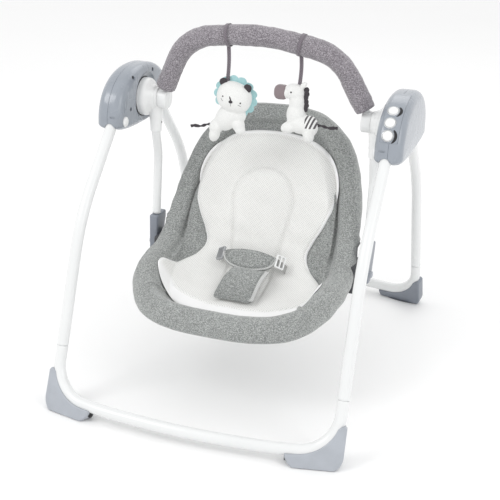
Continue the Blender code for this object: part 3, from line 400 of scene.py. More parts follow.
def painted(name, colour, rough):
    """Powder coat: slow orange peel under a soft gloss."""
    made, tree, main = shader(name, colour, rough, Coat_Weight=0.35, Coat_Roughness=0.08)
    at = place(tree)
    peel = noise(tree, at, 700.0, 2.0)
    tinted(tree, main, ramp(tree, noise(tree, at, 9.0), (0.3, dimmed(colour, 0.975)),
                            (0.7, colour)))
    glossed(tree, main, noise(tree, at, 120.0), rough * 0.96, rough * 1.05)
    bumped(tree, main, peel, 0.05, 0.00001)
    return made


def metal(name, colour, rough, streak=(2, 60, 60)):
    """Drawn or plated metal with fine streaks."""
    made, tree, main = shader(name, colour, rough, 1.0)
    lines = noise(tree, place(tree, streak), 30.0, 4.0)
    glossed(tree, main, lines, rough * 0.7, rough * 1.4)
    tinted(tree, main, ramp(tree, lines, (0.3, dimmed(colour, 0.9)), (0.7, colour)))
    bumped(tree, main, lines, 0.15, 0.00005)
    return made


def melange(name, dark, mid, light, yarn=0.0013, depth=0.35, fleck=0.5):
    """A melange cloth: crossed yarns, each of its own grey, with slubs and soft fading."""
    made, tree, main = shader(name, mid, 0.92, Sheen_Weight=0.35, Sheen_Roughness=0.5)
    at = place(tree)
    fine = noise(tree, at, 0.55 / yarn, 3.0, 0.7)
    slub = noise(tree, place(tree, (1.0, 0.45, 1.8)), 0.22 / yarn, 2.0, 0.6)
    mixture = sums(tree, "ADD", sums(tree, "MULTIPLY", fine, 1 - fleck * 0.5),
                   sums(tree, "MULTIPLY", slub, fleck * 0.5))
    cloth = ramp(tree, mixture, (0.36, dark), (0.5, mid), (0.64, light))
    fade = ramp(tree, noise(tree, at, 14.0, 2.0), (0.35, grey(0.93)), (0.65, grey(1.0)))
    tinted(tree, main, mixed(tree, 1.0, cloth, fade, "MULTIPLY"))
    weft, warp = (node(tree, "ShaderNodeTexWave", {
        "Vector": at, "Scale": 0.16 / yarn, "Distortion": 1.2, "Detail": 1.0},
        bands_direction=way).outputs["Fac"] for way in ("X", "Z"))
    weave = sums(tree, "MAXIMUM", weft, warp)
    bumped(tree, main, sums(tree, "ADD", sums(tree, "MULTIPLY", weave, 0.5), fine), depth, 0.0006)
    return made


def open_mesh(name, colour, band, hole=0.0034):
    """An open mesh knit: rows of small round holes over a pale backing, with painted shade
    in the holes, plain on its border.
    """
    made, tree, main = shader(name, colour, 0.8, Sheen_Weight=0.25)
    uv = node(tree, "ShaderNodeUVMap", uv_map="cloth").outputs["UV"]
    at = node(tree, "ShaderNodeMapping", {"Vector": uv, "Rotation": (0, 0, math.radians(45))})
    cells = node(tree, "ShaderNodeTexVoronoi", {"Vector": at.outputs["Vector"], "Scale": 1 / hole,
                                                "Randomness": 0.12})
    pit = ramp(tree, cells.outputs["Distance"], (0.16, grey(0.0)), (0.42, grey(1.0)))
    plain = node(tree, "ShaderNodeAttribute", attribute_name="border").outputs["Fac"]
    raised = sums(tree, "MAXIMUM", pit, plain)
    # Painted shade: the colour is darkened in the holes.
    knit = mixed(tree, raised, dimmed(colour, 0.72), colour)
    shade = mixed(tree, plain, knit, band)
    soft = ramp(tree, noise(tree, place(tree), 16.0, 3.0), (0.35, grey(0.965)), (0.65, grey(1.0)))
    tinted(tree, main, mixed(tree, 1.0, shade, soft, "MULTIPLY"))
    gloss = ramp(tree, plain, (0.0, grey(0.85)), (1.0, grey(0.42)))
    tree.links.new(gloss, main.inputs["Roughness"])
    bumped(tree, main, raised, 0.45, 0.0006)
    return made


def plush(name, colour, pile=900.0, depth=0.6):
    """Short plush: tufted pile with soft shading between the tufts."""
    made, tree, main = shader(name, colour, 0.95, Sheen_Weight=0.5, Sheen_Roughness=0.4)
    at = place(tree)
    tufts = noise(tree, at, pile, 4.0, 0.65)
    lumps = noise(tree, at, pile * 0.12, 3.0)
    tinted(tree, main, ramp(tree, tufts, (0.3, dimmed(colour, 0.84)), (0.62, colour)))
    bumped(tree, main, sums(tree, "ADD", tufts, lumps), depth, 0.0012)
    return made


def webbed(name, colour, pitch=0.0012):
    """Woven webbing or ribbon: fine ribs across it, with painted shade between the ribs."""
    made, tree, main = shader(name, colour, 0.7, Sheen_Weight=0.3)
    at = place(tree)
    ribs = node(tree, "ShaderNodeTexWave", {"Vector": at, "Scale": 0.16 / pitch, "Distortion": 0.6},
                bands_direction="DIAGONAL").outputs["Fac"]
    # Painted shade: the colour is darkened in the troughs between the ribs.
    tinted(tree, main, ramp(tree, ribs, (0.1, dimmed(colour, 0.72)), (0.8, colour)))
    bumped(tree, main, ribs, 0.5, 0.0004)
    return made


WHITE_PAINT = painted("white_powder_coat", (0.79, 0.80, 0.80), 0.24)
WHITE_PLASTIC = moulded("white_moulding", (0.82, 0.828, 0.825), 0.28, 0.12, 0.3)
# A darker copy of the foot grey, as painted shade on the rear feet; the arm brackets use it too.
FOOT_GREY_SHADED = moulded("foot_grey_painted_shade", (0.215, 0.235, 0.272), 0.42, 0.35, 0.15, 0.05)
DARK_PLASTIC = moulded("dark_moulding", (0.045, 0.047, 0.052), 0.5, 0.4)
# Near-black for painted shade, set in holes, slots, gaps and openings where shade falls.
PAINTED_RECESS_SHADE = moulded("painted_recess_shade", (0.008, 0.008, 0.010), 0.35, 0.2)
RUBBER = moulded("sole_rubber", (0.11, 0.12, 0.14), 0.8, 0.6)
SILVER = metal("plated_bezel", (0.78, 0.79, 0.80), 0.22, (40, 40, 40))
STEEL = metal("drawn_steel", (0.60, 0.60, 0.61), 0.32)
BRASS = metal("sintered_bronze", (0.55, 0.38, 0.18), 0.38)
COPPER = metal("coil_copper", (0.62, 0.26, 0.11), 0.3, (90, 4, 4))
BOARD = moulded("circuit_laminate", (0.02, 0.16, 0.07), 0.35, 0.3, 0.4)
GREY_CLOTH = melange("grey_melange_cloth", (0.135, 0.142, 0.138), (0.290, 0.303, 0.295),
                     (0.56, 0.575, 0.565), 0.00095, 0.4, 0.35)
SLEEVE_KNIT = melange("mauve_melange_knit", (0.110, 0.098, 0.112), (0.235, 0.215, 0.237),
                      (0.50, 0.475, 0.50), 0.0010, 0.5, 0.35)
MESH_CLOTH = open_mesh("white_mesh_knit", (0.875, 0.875, 0.855), (0.93, 0.93, 0.93))
PLUSH_WHITE = plush("white_plush", (0.87, 0.875, 0.86))
PLUSH_TEAL = plush("pale_teal_felt", (0.42, 0.68, 0.70), 1500.0, 0.35)
PLUSH_DARK = plush("charcoal_plush", (0.055, 0.048, 0.055), 1200.0, 0.5)
PLUSH_TAUPE = plush("taupe_plush", (0.27, 0.22, 0.23), 1200.0, 0.5)
THREAD = webbed("dark_thread", (0.03, 0.03, 0.032))
GREY_WEB = webbed("grey_webbing", (0.42, 0.42, 0.41))
PALE_PIPING = webbed("pale_piping", (0.62, 0.63, 0.62))
RIBBON_MAUVE = webbed("mauve_ribbon", (0.19, 0.165, 0.19))
EYE_GLOSS = moulded("stitched_eye", (0.012, 0.011, 0.012), 0.25, 0.1, 0.6)


# ---------------------------------------------------------------- light, floor and camera
def studio():
    """A plain pale floor, a soft even sky, two broad soft lamps and a camera."""
    scene = bpy.context.scene
    world = bpy.data.worlds.new("soft_sky")
    world.use_nodes = True
    back = world.node_tree.nodes["Background"]
    back.inputs["Color"].default_value = (1.0, 1.0, 1.0, 1)
    back.inputs["Strength"].default_value = SKY
    scene.world = world
    for name, spot, size, power in LAMPS:
        lamp = bpy.data.lights.new(name, "AREA")
        lamp.shape = "RECTANGLE"
        lamp.size, lamp.size_y = size
        lamp.energy = power
        made = bpy.data.objects.new(name, lamp)
        made.location = spot
        made.rotation_euler = (LAMP_AIM - Vector(spot)).to_track_quat("-Z", "Y").to_euler()
        scene.collection.objects.link(made)
    a, b = FLOOR_HALF, FLOOR_Z
    floor = mesh_object("studio_floor", [(-a, -a, b), (a, -a, b), (a, a, b), (-a, a, b)],
                        np.array([[0, 1, 2, 3]]))
    made, tree, main = shader("pale_floor", FLOOR_TONE, 0.6)
    tinted(tree, main, ramp(tree, noise(tree, place(tree), 2.0, 2.0),
                            (0.3, dimmed(FLOOR_TONE, 0.995)), (0.7, FLOOR_TONE)))
    floor.data.materials.append(made)
    toward = Vector((math.sin(VIEW_AZ) * math.cos(VIEW_EL), -math.cos(VIEW_AZ) * math.cos(VIEW_EL),
                     math.sin(VIEW_EL)))
    right = (-toward).cross(Vector((0, 0, 1))).normalized()
    up = right.cross(-toward)
    x = math.cos(VIEW_ROLL) * right + math.sin(VIEW_ROLL) * up
    y = -math.sin(VIEW_ROLL) * right + math.cos(VIEW_ROLL) * up
    spot = Vector(VIEW_AIM) + toward * VIEW_FAR
    lens = bpy.data.cameras.new("front_camera")
    lens.sensor_width = 36.0
    lens.lens = VIEW_LENS
    camera = bpy.data.objects.new("front_camera", lens)
    camera.matrix_world = Matrix(((x.x, y.x, toward.x, spot.x), (x.y, y.y, toward.y, spot.y),
                                  (x.z, y.z, toward.z, spot.z), (0, 0, 0, 1)))
    scene.collection.objects.link(camera)
    scene.camera = camera
    scene.view_settings.view_transform = "Standard"


VIEW_AZ, VIEW_EL, VIEW_ROLL = math.radians(18.33), math.radians(22.03), math.radians(1.92)
VIEW_AIM, VIEW_FAR, VIEW_LENS = (-0.014, -0.0065, 0.2175), 2.0899, 76.586
FLOOR_HALF, FLOOR_Z, FLOOR_TONE = 9.0, -0.0006, (0.93, 0.93, 0.93)
SKY = 1.0
LAMP_AIM = Vector((0.0, 0.0, 0.25))
LAMPS = (("key_lamp", (-1.5, -1.6, 2.2), (1.0, 1.0), 15.0),
         ("side_lamp", (2.0, -0.9, 1.5), (1.0, 1.4), 8.0),
         ("back_lamp", (0.3, 2.2, 2.4), (2.0, 1.2), 8.0))

studio()


# ---------------------------------------------------------------- frame tubes
def leg_x(z):
    """The leg's distance from the middle plane at a level."""
    return LEG_TOP_X + (LEG_SEAM_X - LEG_TOP_X) * (PIVOT[2] - z) / (PIVOT[2] - LEG_SEAM_Z)


BEND_Y = LEG_PIVOT_Y + (PIVOT[2] - LEG_BEND_Z) * math.tan(UPPER_LEAN)
SEAM_Y = BEND_Y + (LEG_BEND_Z - LEG_SEAM_Z) * math.tan(LOWER_LEAN)
SEAM_GAP = 0.00025


def lipped(path, radius, lip=0.0008):
    """The radius along a path, pulled in at both ends as a tiny chamfer."""
    far = run_of(path)
    return radius - lip * (np.clip(1 - far / lip, 0, 1) + np.clip(1 - (far[-1] - far) / lip, 0, 1))


def with_lips(path, lip=0.0008):
    """The path with a point added just inside each end."""
    first = path[0] + unit(path[1] - path[0]) * lip
    last = path[-1] + unit(path[-2] - path[-1]) * lip
    return np.concatenate((path[:1], first[None], path[1:-1], last[None], path[-1:]))


def frame_tubes():
    """Legs bent once, and floor bars bent in at their corners, as drawn tubes."""
    for fore, end in ((-1, "front"), (1, "rear")):
        body = f"{end}_frame"
        stub = 0.010
        for side, hand in HANDS:
            top = (side * leg_x(PIVOT[2]), fore * (LEG_PIVOT_Y - stub * math.sin(UPPER_LEAN)),
                   PIVOT[2] + stub * math.cos(UPPER_LEAN))
            bend = (side * leg_x(LEG_BEND_Z), fore * BEND_Y, LEG_BEND_Z)
            foot = (side * leg_x(LEG_SEAM_Z), fore * (SEAM_Y - SEAM_GAP * 0.3),
                    LEG_SEAM_Z + SEAM_GAP)
            path = with_lips(rounded([top, bend, foot], [0.30]))
            leg = tube(f"{end}_{hand}_leg_tube", path, lipped(path, TUBE_R), (1, 0, 0), 48)
            finish(leg, body, "white_paint", WHITE_PAINT, f"{end}_{hand}_leg")
        half = [(leg_x(LEG_SEAM_Z), fore * (SEAM_Y + SEAM_GAP * 0.3), LEG_SEAM_Z - SEAM_GAP)]
        half += [(x, fore * y, z) for x, y, z in BASE_CORNERS]
        corners = half + [(-x, y, z) for x, y, z in half[-2::-1]]
        path = with_lips(rounded(corners, [BASE_CORNER_R, BASE_BOW_R, BASE_MID_R, BASE_BOW_R,
                                           BASE_CORNER_R]))
        bar = tube(f"{end}_floor_bar", path, lipped(path, TUBE_R), (0, fore * 0.94, 0.34), 48)
        finish(bar, body, "white_paint", WHITE_PAINT, f"{end}_base_bar")


frame_tubes()


# ---------------------------------------------------------------- feet
FOOT_HALF, FOOT_SIDE, FOOT_UNDER, FOOT_CORNER_R = 0.0122, 0.0135, 0.036, 0.034
FOOT_LEG_RUN, FOOT_BAR_RUN, FOOT_RIM, ROOM_GAP = 0.043, 0.086, 0.0035, 0.0003
FOOT_INNER_R = 0.0757


def feet():
    """Moulded corner shoes: a rounded slab round the bar's bend, bored for the tube,
    cut flat by the floor, with a lip at the leg, a thin sole and a black disc at the toe
    as painted shade in its opening."""
    for fore, end in ((-1, "front"), (1, "rear")):
        line = ((leg_x(LEG_SEAM_Z), SEAM_Y, LEG_SEAM_Z), *BASE_CORNERS)
        for side, hand in HANDS:
            name = f"{end}_{hand}_foot"
            top, corner, along, middle = (np.array((side * x, fore * y, z)) for x, y, z in line)
            bar, leg = unit(along - corner), unit(top - corner)
            across = unit(np.cross(bar, leg))
            rise = np.cross(across, bar)
            lean = math.tan(math.acos(float(rise @ leg))) * math.copysign(1, float(leg @ bar))
            frame4 = frame_of(bar, rise, across, corner)
            tip = lean * FOOT_LEG_RUN
            under = arc(FOOT_CORNER_R, 180, 270, 14, FOOT_CORNER_R - FOOT_SIDE,
                        FOOT_CORNER_R - FOOT_UNDER)
            inner = arc(FOOT_INNER_R, 270, 180, 18, BASE_CORNER_R, BASE_CORNER_R)
            inner = inner[(inner[:, 0] < FOOT_BAR_RUN - 0.004) & (inner[:, 1] < FOOT_LEG_RUN)]
            ends = np.array([(-0.0045 + tip, FOOT_LEG_RUN + 0.004),
                             (-0.0095 + tip, FOOT_LEG_RUN + 0.0045),
                             (-FOOT_SIDE + 0.0005 + tip, FOOT_LEG_RUN)])
            toe = [(FOOT_BAR_RUN - 0.020, -FOOT_UNDER), (FOOT_BAR_RUN - 0.004, -0.020),
                   (FOOT_BAR_RUN, -0.012), (FOOT_BAR_RUN, -0.0062)]
            outline = np.concatenate((ends, under, toe, inner))
            shoe = plate(name + "_shoe", outline, -FOOT_HALF, FOOT_HALF, FOOT_RIM, frame4, 7)
            room = rounded([top, corner, along, middle], [BASE_CORNER_R, BASE_BOW_R])
            bore = tube("bore", room, TUBE_R + ROOM_GAP, (0, fore * 0.94, 0.34), 40)
            low = block("under_floor", (side * 0.2 - 0.15, fore * 0.35 - 0.1, -0.08),
                        (side * 0.2 + 0.15, fore * 0.35 + 0.1, 0.0012), 0)
            carved(shoe, (bore, low))
            body = f"{end}_frame"
            # Painted light and shade: front shoes take a lighter copy and rear shoes a darker copy of
            # one grey.
            finish(shoe, body, "grey_plastic", FOOT_GREY_LIT if end == "front" else FOOT_GREY_SHADED,
                   name)
            base = corner + bar * 0.030
            sole_line = np.array([base + bar * 0.036, base - bar * 0.030])
            sole_line[:, 2] = 0.0006
            spread = circle(28)
            ring = (sole_line.mean(0) + spread[:, :1] * bar * 0.034
                    + spread[:, 1:] * unit(np.cross((0, 0, 1.0), bar)) * 0.0088)
            rings = np.stack([ring + (0, 0, z) for z in (-0.0006, 0.0011)])
            sole = crease(skin(name + "_sole", rings))
            finish(sole, body, "dark_plastic", RUBBER)
            # Painted shade: a black disc stands in the open toe, where shade falls inside.
            toe_at = corner + bar * (FOOT_BAR_RUN - 0.001) - rise * 0.0130
            stud(name + "_toe_painted_shade", disc_profile(0.0062, -0.004, 0.0016, 0.0008), toe_at, bar,
                 body, "dark_plastic", PAINTED_RECESS_SHADE, 32)


# A lighter copy of the foot grey, as painted light on the front feet; the recline buttons use it too.
FOOT_GREY_LIT = moulded("foot_grey_painted_light", (0.40, 0.425, 0.465), 0.40, 0.3, 0.2, 0.05)
feet()


# ---------------------------------------------------------------- hubs
HUB_WALL, HUB_HOLE_R = 0.0025, 0.0385
OUTER_ROUND, INNER_ROUND = 0.018, 0.015
LEG_CLEAR, FOLD = 0.0010, math.radians(46)
LOCK_Y, LOCK_Z, LOCK_CAP_R = 0.094, 0.472, 0.0095
PANEL_IN, PANEL_OUT, PANEL_TOP_Y, PANEL_LOW_Z = 0.2470, 0.2785, -0.014, 0.4985
BUTTON_X, BUTTON_R, BUTTON_PROUD = 0.2600, 0.0088, 0.0030
BUTTONS = {"power": 0.5450, "speed": 0.5290, "music": 0.5095}


def hub_rings(side, profile, count=176):
    """The hub's rings for (distance from the middle plane, inset, share) profile points.

    Across the swing axis the outline is y = half |cos t|^(2/p), z = rise or drop times
    |sin t|^(2/p), each less the inset; a share under one shrinks a ring for the flat faces."""
    t = np.linspace(0, 2 * math.pi, count, endpoint=False)
    c, s = np.cos(t), np.sin(t)
    profile = np.asarray(profile, float)
    x, inset, share = (profile[:, k][:, None] for k in range(3))
    y = (HUB_HALF - inset) * np.sign(c) * np.abs(c) ** (2 / HUB_POWER) * share
    tall = np.where(s > 0, HUB_RISE - inset, HUB_DROP - inset * 0.9)
    lift = tall * np.sign(s) * np.abs(s) ** (2 / HUB_POWER)
    z = HUB_MID_Z + 0.034 + (lift - 0.034) * share
    return np.stack([np.broadcast_to(side * x, y.shape), y, z], -1)


def face_profile(x, inset, crown, count=7):
    """A face from its middle to its rim, with a slight crown towards the middle."""
    share = np.linspace(0.03, 1, count)
    return np.stack([x - crown * share ** 2, np.full(count, inset), share], -1)


def rim_profile(x_face, x_side, r, inset, count=9):
    """A quarter ellipse from a face to the side wall."""
    a = np.linspace(0, math.pi / 2, count)[1:]
    return np.stack([x_side + (x_face - x_side) * np.cos(a), inset + r * (1 - np.sin(a)),
                     np.ones(count - 1)], -1)


def cup_profile(face, split, r, wall, crown, floor):
    """Outside from the face's middle to the parting line, and back along the inside."""
    way = math.copysign(1, face - split)
    rim_x = face - crown
    out = np.concatenate([
        face_profile(face, r, crown), rim_profile(rim_x, face - way * r, r, 0.0),
        [(split + way * 0.0006, 0.0, 1), (split + way * 0.0001, 0.0005, 1),
         (split + way * 0.0001, wall, 1)]])
    inner_r = r - wall
    back = np.concatenate([
        rim_profile(face - way * floor, face - way * (inner_r + floor), inner_r, wall)[::-1],
        [(face - way * floor, r, 1), (face - way * floor, r, 0.03)]])
    return np.concatenate([out, back])


def prism(name, outline, side, low, high):
    """A flat (y, z) outline made solid between two distances from the middle plane."""
    outline = np.asarray(outline, float)
    flat = np.stack([np.concatenate((np.full((len(outline), 1), side * x), outline), 1)
                     for x in (low, high)])
    return skin(name, flat)


def leg_rooms(side):
    """The bores and the sector that the legs need in the shells, at rest and folded."""
    x = side * (LEG_TOP_X + ROOM_GAP)
    r = TUBE_R + LEG_CLEAR
    out = []
    for fore, turn in ((-1, 0.0), (-1, FOLD), (1, 0.0)):
        lean = UPPER_LEAN - turn
        down = np.array((0, fore * math.sin(lean), -math.cos(lean)))
        pin = np.array((x, fore * LEG_PIVOT_Y, PIVOT[2]))
        out.append(turned("leg_room", [(DOT, -0.014), (r, -0.014), (r, 0.11), (DOT, 0.11)],
                          pin, down, 40))
    start = 1.5 * math.pi - UPPER_LEAN
    a = np.linspace(start, start + FOLD, 14)
    pie = np.concatenate(([(0, 0)], 0.095 * np.stack([np.cos(a), np.sin(a)], -1)))
    out.append(prism("fold_room", pie + (-LEG_PIVOT_Y, PIVOT[2]), side, abs(x) - r, abs(x) + r))
    return out


def round_cutter(name, side, y, z, r, low, high, r_low=None):
    """A round hole along the swing axis, between two distances from the middle plane."""
    return turned(name, [(DOT, low), (r_low or r, low), (r, high), (DOT, high)],
                  (0, y, z), (side, 0, 0), 48)


def front_point(level):
    """A point on the hub's front edge and the way out of the surface there."""
    def y_at(z):
        return -HUB_HALF * (1 - ((z - HUB_MID_Z) / HUB_RISE) ** HUB_POWER) ** (1 / HUB_POWER)
    slope = unit((0, y_at(level + 5e-4) - y_at(level - 5e-4), 1e-3))
    return np.array((0, y_at(level), level)), np.array((0, -slope[2], slope[1]))


SCREWS = ((-0.053, 0.546), (0.032, 0.546), (-0.069, 0.490))


def hub(side, hand):
    """Two moulded half shells that part along a fine groove, with their holes and screws."""
    body = "rear_frame"
    outer = skin(f"{hand}_hub_outer_cover", hub_rings(side, cup_profile(
        HUB_OUT, HUB_SPLIT, OUTER_ROUND, HUB_WALL, 0.0016, HUB_WALL)))
    inner = skin(f"{hand}_hub_inner_cover", hub_rings(side, cup_profile(
        HUB_IN, HUB_SPLIT, INNER_ROUND, HUB_WALL, 0.0, 0.006)))
    scoop = turned("scoop", [(DOT, 0.2300), (0.0520, 0.2300), (0.0475, 0.2380), (0.0450, 0.2405),
                             (0.0415, 0.2425), (HUB_HOLE_R, 0.2432), (HUB_HOLE_R, 0.2480),
                             (DOT, 0.2480)], PIVOT, (side, 0, 0), 96)
    holes = [scoop, round_cutter("lock_hole", side, -LOCK_Y, LOCK_Z, LOCK_CAP_R + 0.0004, 0.22, 0.2475)]
    holes += [round_cutter("screw_hole", side, y, z, 0.0038, 0.2300, 0.2426, 0.0044)
              for y, z in SCREWS]
    slot_low = prism("keel_slot", filleted([(-0.071, 0.4540), (-0.062, 0.4540), (-0.062, 0.4562),
                                            (-0.071, 0.4562)], [0.001] * 4, 4), side, 0.22, 0.2400)
    holes.append(slot_low)
    outer_rooms, inner_rooms = leg_rooms(side), leg_rooms(side)
    recess_at, recess_out = front_point(0.4830)
    recess_at = recess_at + (side * 0.2530, 0, 0)
    across = np.cross(recess_out, (1, 0, 0))
    recess = circle(32, 0.0058, 0.0018)
    notch = skin("front_notch", np.stack([
        recess_at + recess_out * h + recess[:, :1] * np.array((1, 0, 0)) + recess[:, 1:] * across
        for h in (-0.0015, 0.006)]))
    if side > 0:
        outer_cuts, inner_cuts = [window(side, 0.0003)], [window(side, 0.0003)]
    else:
        outer_cuts = [block("door_room", (-0.30, -0.0527, 0.5171), (-0.286, 0.0527, 0.5408), 0)]
        inner_cuts = []
    carved(outer, outer_cuts + outer_rooms)
    carved(inner, inner_cuts + inner_rooms + holes + [notch])
    finish(outer, body, "grey_gloss", HUB_GREY, f"{hand}_hub_outer_shell")
    finish(inner, body, "grey_gloss", HUB_GREY, f"{hand}_hub_inner_shell")
    # The screws are black as painted shade in their holes.
    for k, (y, z) in enumerate(SCREWS):
        stud(f"{hand}_hub_screw_{k + 1}", [(DOT, 0.2428), (0.0037, 0.2428), (0.0037, 0.2414),
                                           (0.0030, 0.2408), (0.0014, 0.2408), (0.0011, 0.2416),
                                           (DOT, 0.2416)],
             (0, y, z), (side, 0, 0), body, "dark_plastic", PAINTED_RECESS_SHADE)
    # Painted shade: a black disc behind the round opening, seen in the gap round the swing housing.
    stud(f"{hand}_hub_gap_painted_shade", [(0.0388, 0.2462), (0.0388, 0.2474), (DOT, 0.2474),
                                   (DOT, 0.2462)][::-1],
         PIVOT, (side, 0, 0), body, "dark_plastic", PAINTED_RECESS_SHADE, 72)
    stud(f"{hand}_leg_lock_cap", [(DOT, HUB_IN + 0.0085), (LOCK_CAP_R, HUB_IN + 0.0085),
                                  (LOCK_CAP_R, HUB_IN - 0.0009),
                                  (LOCK_CAP_R - 0.0007, HUB_IN - 0.0022),
                                  (LOCK_CAP_R - 0.0027, HUB_IN - 0.0036),
                                  (LOCK_CAP_R - 0.0055, HUB_IN - 0.0042), (DOT, HUB_IN - 0.0044)],
         (0, -LOCK_Y, LOCK_Z), (side, 0, 0), f"{hand}_leg_lock_key", "white_plastic",
         WHITE_PLASTIC, 48, f"{hand}_leg_lock")


def window(side, grow):
    """The panel's place in the shells, as a rounded box."""
    low = (side * (PANEL_IN - grow), -0.15, PANEL_LOW_Z - grow)
    high = (side * (PANEL_OUT + grow), PANEL_TOP_Y + grow, 0.60)
    return block("window", low, high, 0.0022)


def pebble(side, inset):
    """The hub's whole rounded body, or the body inside it by an inset."""
    low, high = HUB_IN + inset, HUB_OUT - inset
    rounds = (INNER_ROUND - max(inset, 0), OUTER_ROUND - max(inset, 0))
    profile = np.concatenate([
        face_profile(low, INNER_ROUND, 0.0), rim_profile(low, low + rounds[0], rounds[0], inset),
        rim_profile(high - 0.0016, high - rounds[1], rounds[1], inset)[::-1],
        face_profile(high, OUTER_ROUND, 0.0016)[::-1]])
    return skin("pebble", hub_rings(side, profile))


def crescent(at, out):
    """A thin moon beside a button, set through the panel along the surface's way out."""
    a = np.radians(np.linspace(-58, 52, 20))
    wide = 0.0025 * np.sqrt(np.clip(1 - (a / a.max() * 0.92) ** 2, 0.05, 1))
    r = 0.0139
    line = np.concatenate([np.stack([(r + wide) * np.cos(a), (r + wide) * np.sin(a)], -1),
                           np.stack([(r - wide) * np.cos(a), (r - wide) * np.sin(a)], -1)[::-1]])
    up = np.cross(out, (1, 0, 0))
    up = up if up[2] > 0 else -up
    flat = at + line[:, :1] * np.array((1, 0, 0)) + line[:, 1:] * up
    return skin("crescent", np.stack([flat - out * 0.012, flat + out * 0.006]))


def control_panel():
    """The panel with three white buttons in plated bezels and two crescents of painted shade."""
    made = pebble(1, -0.0002)
    carved(made, [window(1, 0.0)], "INTERSECT")
    cutters = [pebble(1, 0.0019)]
    wells, moons = [], []
    for name in BUTTONS:
        at, out = button_frame(name)
        wells.append(turned("well", [(DOT, -0.02), (BUTTON_R + 0.0003, -0.02),
                                     (BUTTON_R + 0.0003, 0.02), (DOT, 0.02)], at, out, 48))
        if name != "speed":
            moons.append(crescent(at, out))
        stud(f"{name}_button_cap", [(DOT, -0.0102), (BUTTON_R, -0.0102), (BUTTON_R, 0.0012),
                                    (BUTTON_R - 0.0005, 0.0019), (BUTTON_R - 0.0018, 0.0024),
                                    (BUTTON_R * 0.6, 0.0028), (BUTTON_R * 0.3, 0.0030),
                                    (DOT, BUTTON_PROUD)],
             at, out, f"{name}_button_key", "white_plastic", WHITE_PLASTIC, 64, f"{name}_button")
        bezel = turned(f"{name}_button_bezel", [
            (BUTTON_R + 0.0004, -0.0010), (BUTTON_R + 0.0004, 0.0011), (BUTTON_R + 0.0008, 0.0017),
            (BUTTON_R + 0.0014, 0.0016), (BUTTON_R + 0.0019, 0.0009), (BUTTON_R + 0.0021, -0.0010)],
            at, out, 64, closed=True)
        finish(bezel, "rear_frame", "white_plastic", SILVER)
    # Painted shade: a black plug sits just under the surface in each crescent slot.
    for name in ("power", "music"):
        fill = pebble(1, 0.0003)
        carved(fill, [crescent(*button_frame(name))], "INTERSECT")
        fill.name = f"{name}_button_crescent_painted_shade"
        finish(fill, "rear_frame", "dark_plastic", PAINTED_RECESS_SHADE)
    carved(made, cutters + wells + moons)
    made.name = "control_panel_cover"
    finish(made, "rear_frame", "grey_gloss", HUB_GREY, "control_panel")


def button_frame(name):
    """A button's place on the panel and its way out."""
    at, out = front_point(BUTTONS[name])
    return at + (BUTTON_X, 0, 0), out


HUB_GREY = moulded("hub_moulding", (0.285, 0.312, 0.352), 0.27, 0.12, 0.40, 0.04)
hub(-1, "left")
hub(1, "right")
control_panel()


# ---------------------------------------------------------------- swing housings and arms
RECLINE_AXIS = (0, 0.002, 0.203)
HOUSING_R, HOUSING_IN, ARM_X, ARM_R = 0.0365, 0.2430, 0.2175, 0.0085


def housing_profile():
    """A shallow drum that narrows in steps towards the seat, with a fine ring line."""
    low = 0.2088
    return np.concatenate([
        [(DOT, low)], [(0.0192, low)], arc(0.0016, -90, 0, 5, 0.0192, low + 0.0016),
        [(0.0212, 0.2140), (0.0216, 0.2143), (0.0216, 0.2147), (0.0222, 0.2150)],
        [(0.0240, 0.2190), (0.0268, 0.2232)], arc(0.0100, -58, 0, 8, 0.0265, 0.2350)[1:],
        [(HOUSING_R, 0.2362), (HOUSING_R, 0.2388), (HOUSING_R - 0.0004, 0.2391),
         (HOUSING_R - 0.0004, 0.2396), (HOUSING_R, 0.2399), (HOUSING_R, HOUSING_IN - 0.0006),
         (HOUSING_R - 0.0006, HOUSING_IN), (DOT, HOUSING_IN)]])


def arm_path():
    corners = [(ARM_X, 0.0, 0.4705), (ARM_X, 0.001, 0.428), (ARM_X, 0.012, 0.385),
               (ARM_X, 0.002, 0.2628)]
    return rounded(corners, [0.10, 0.10])


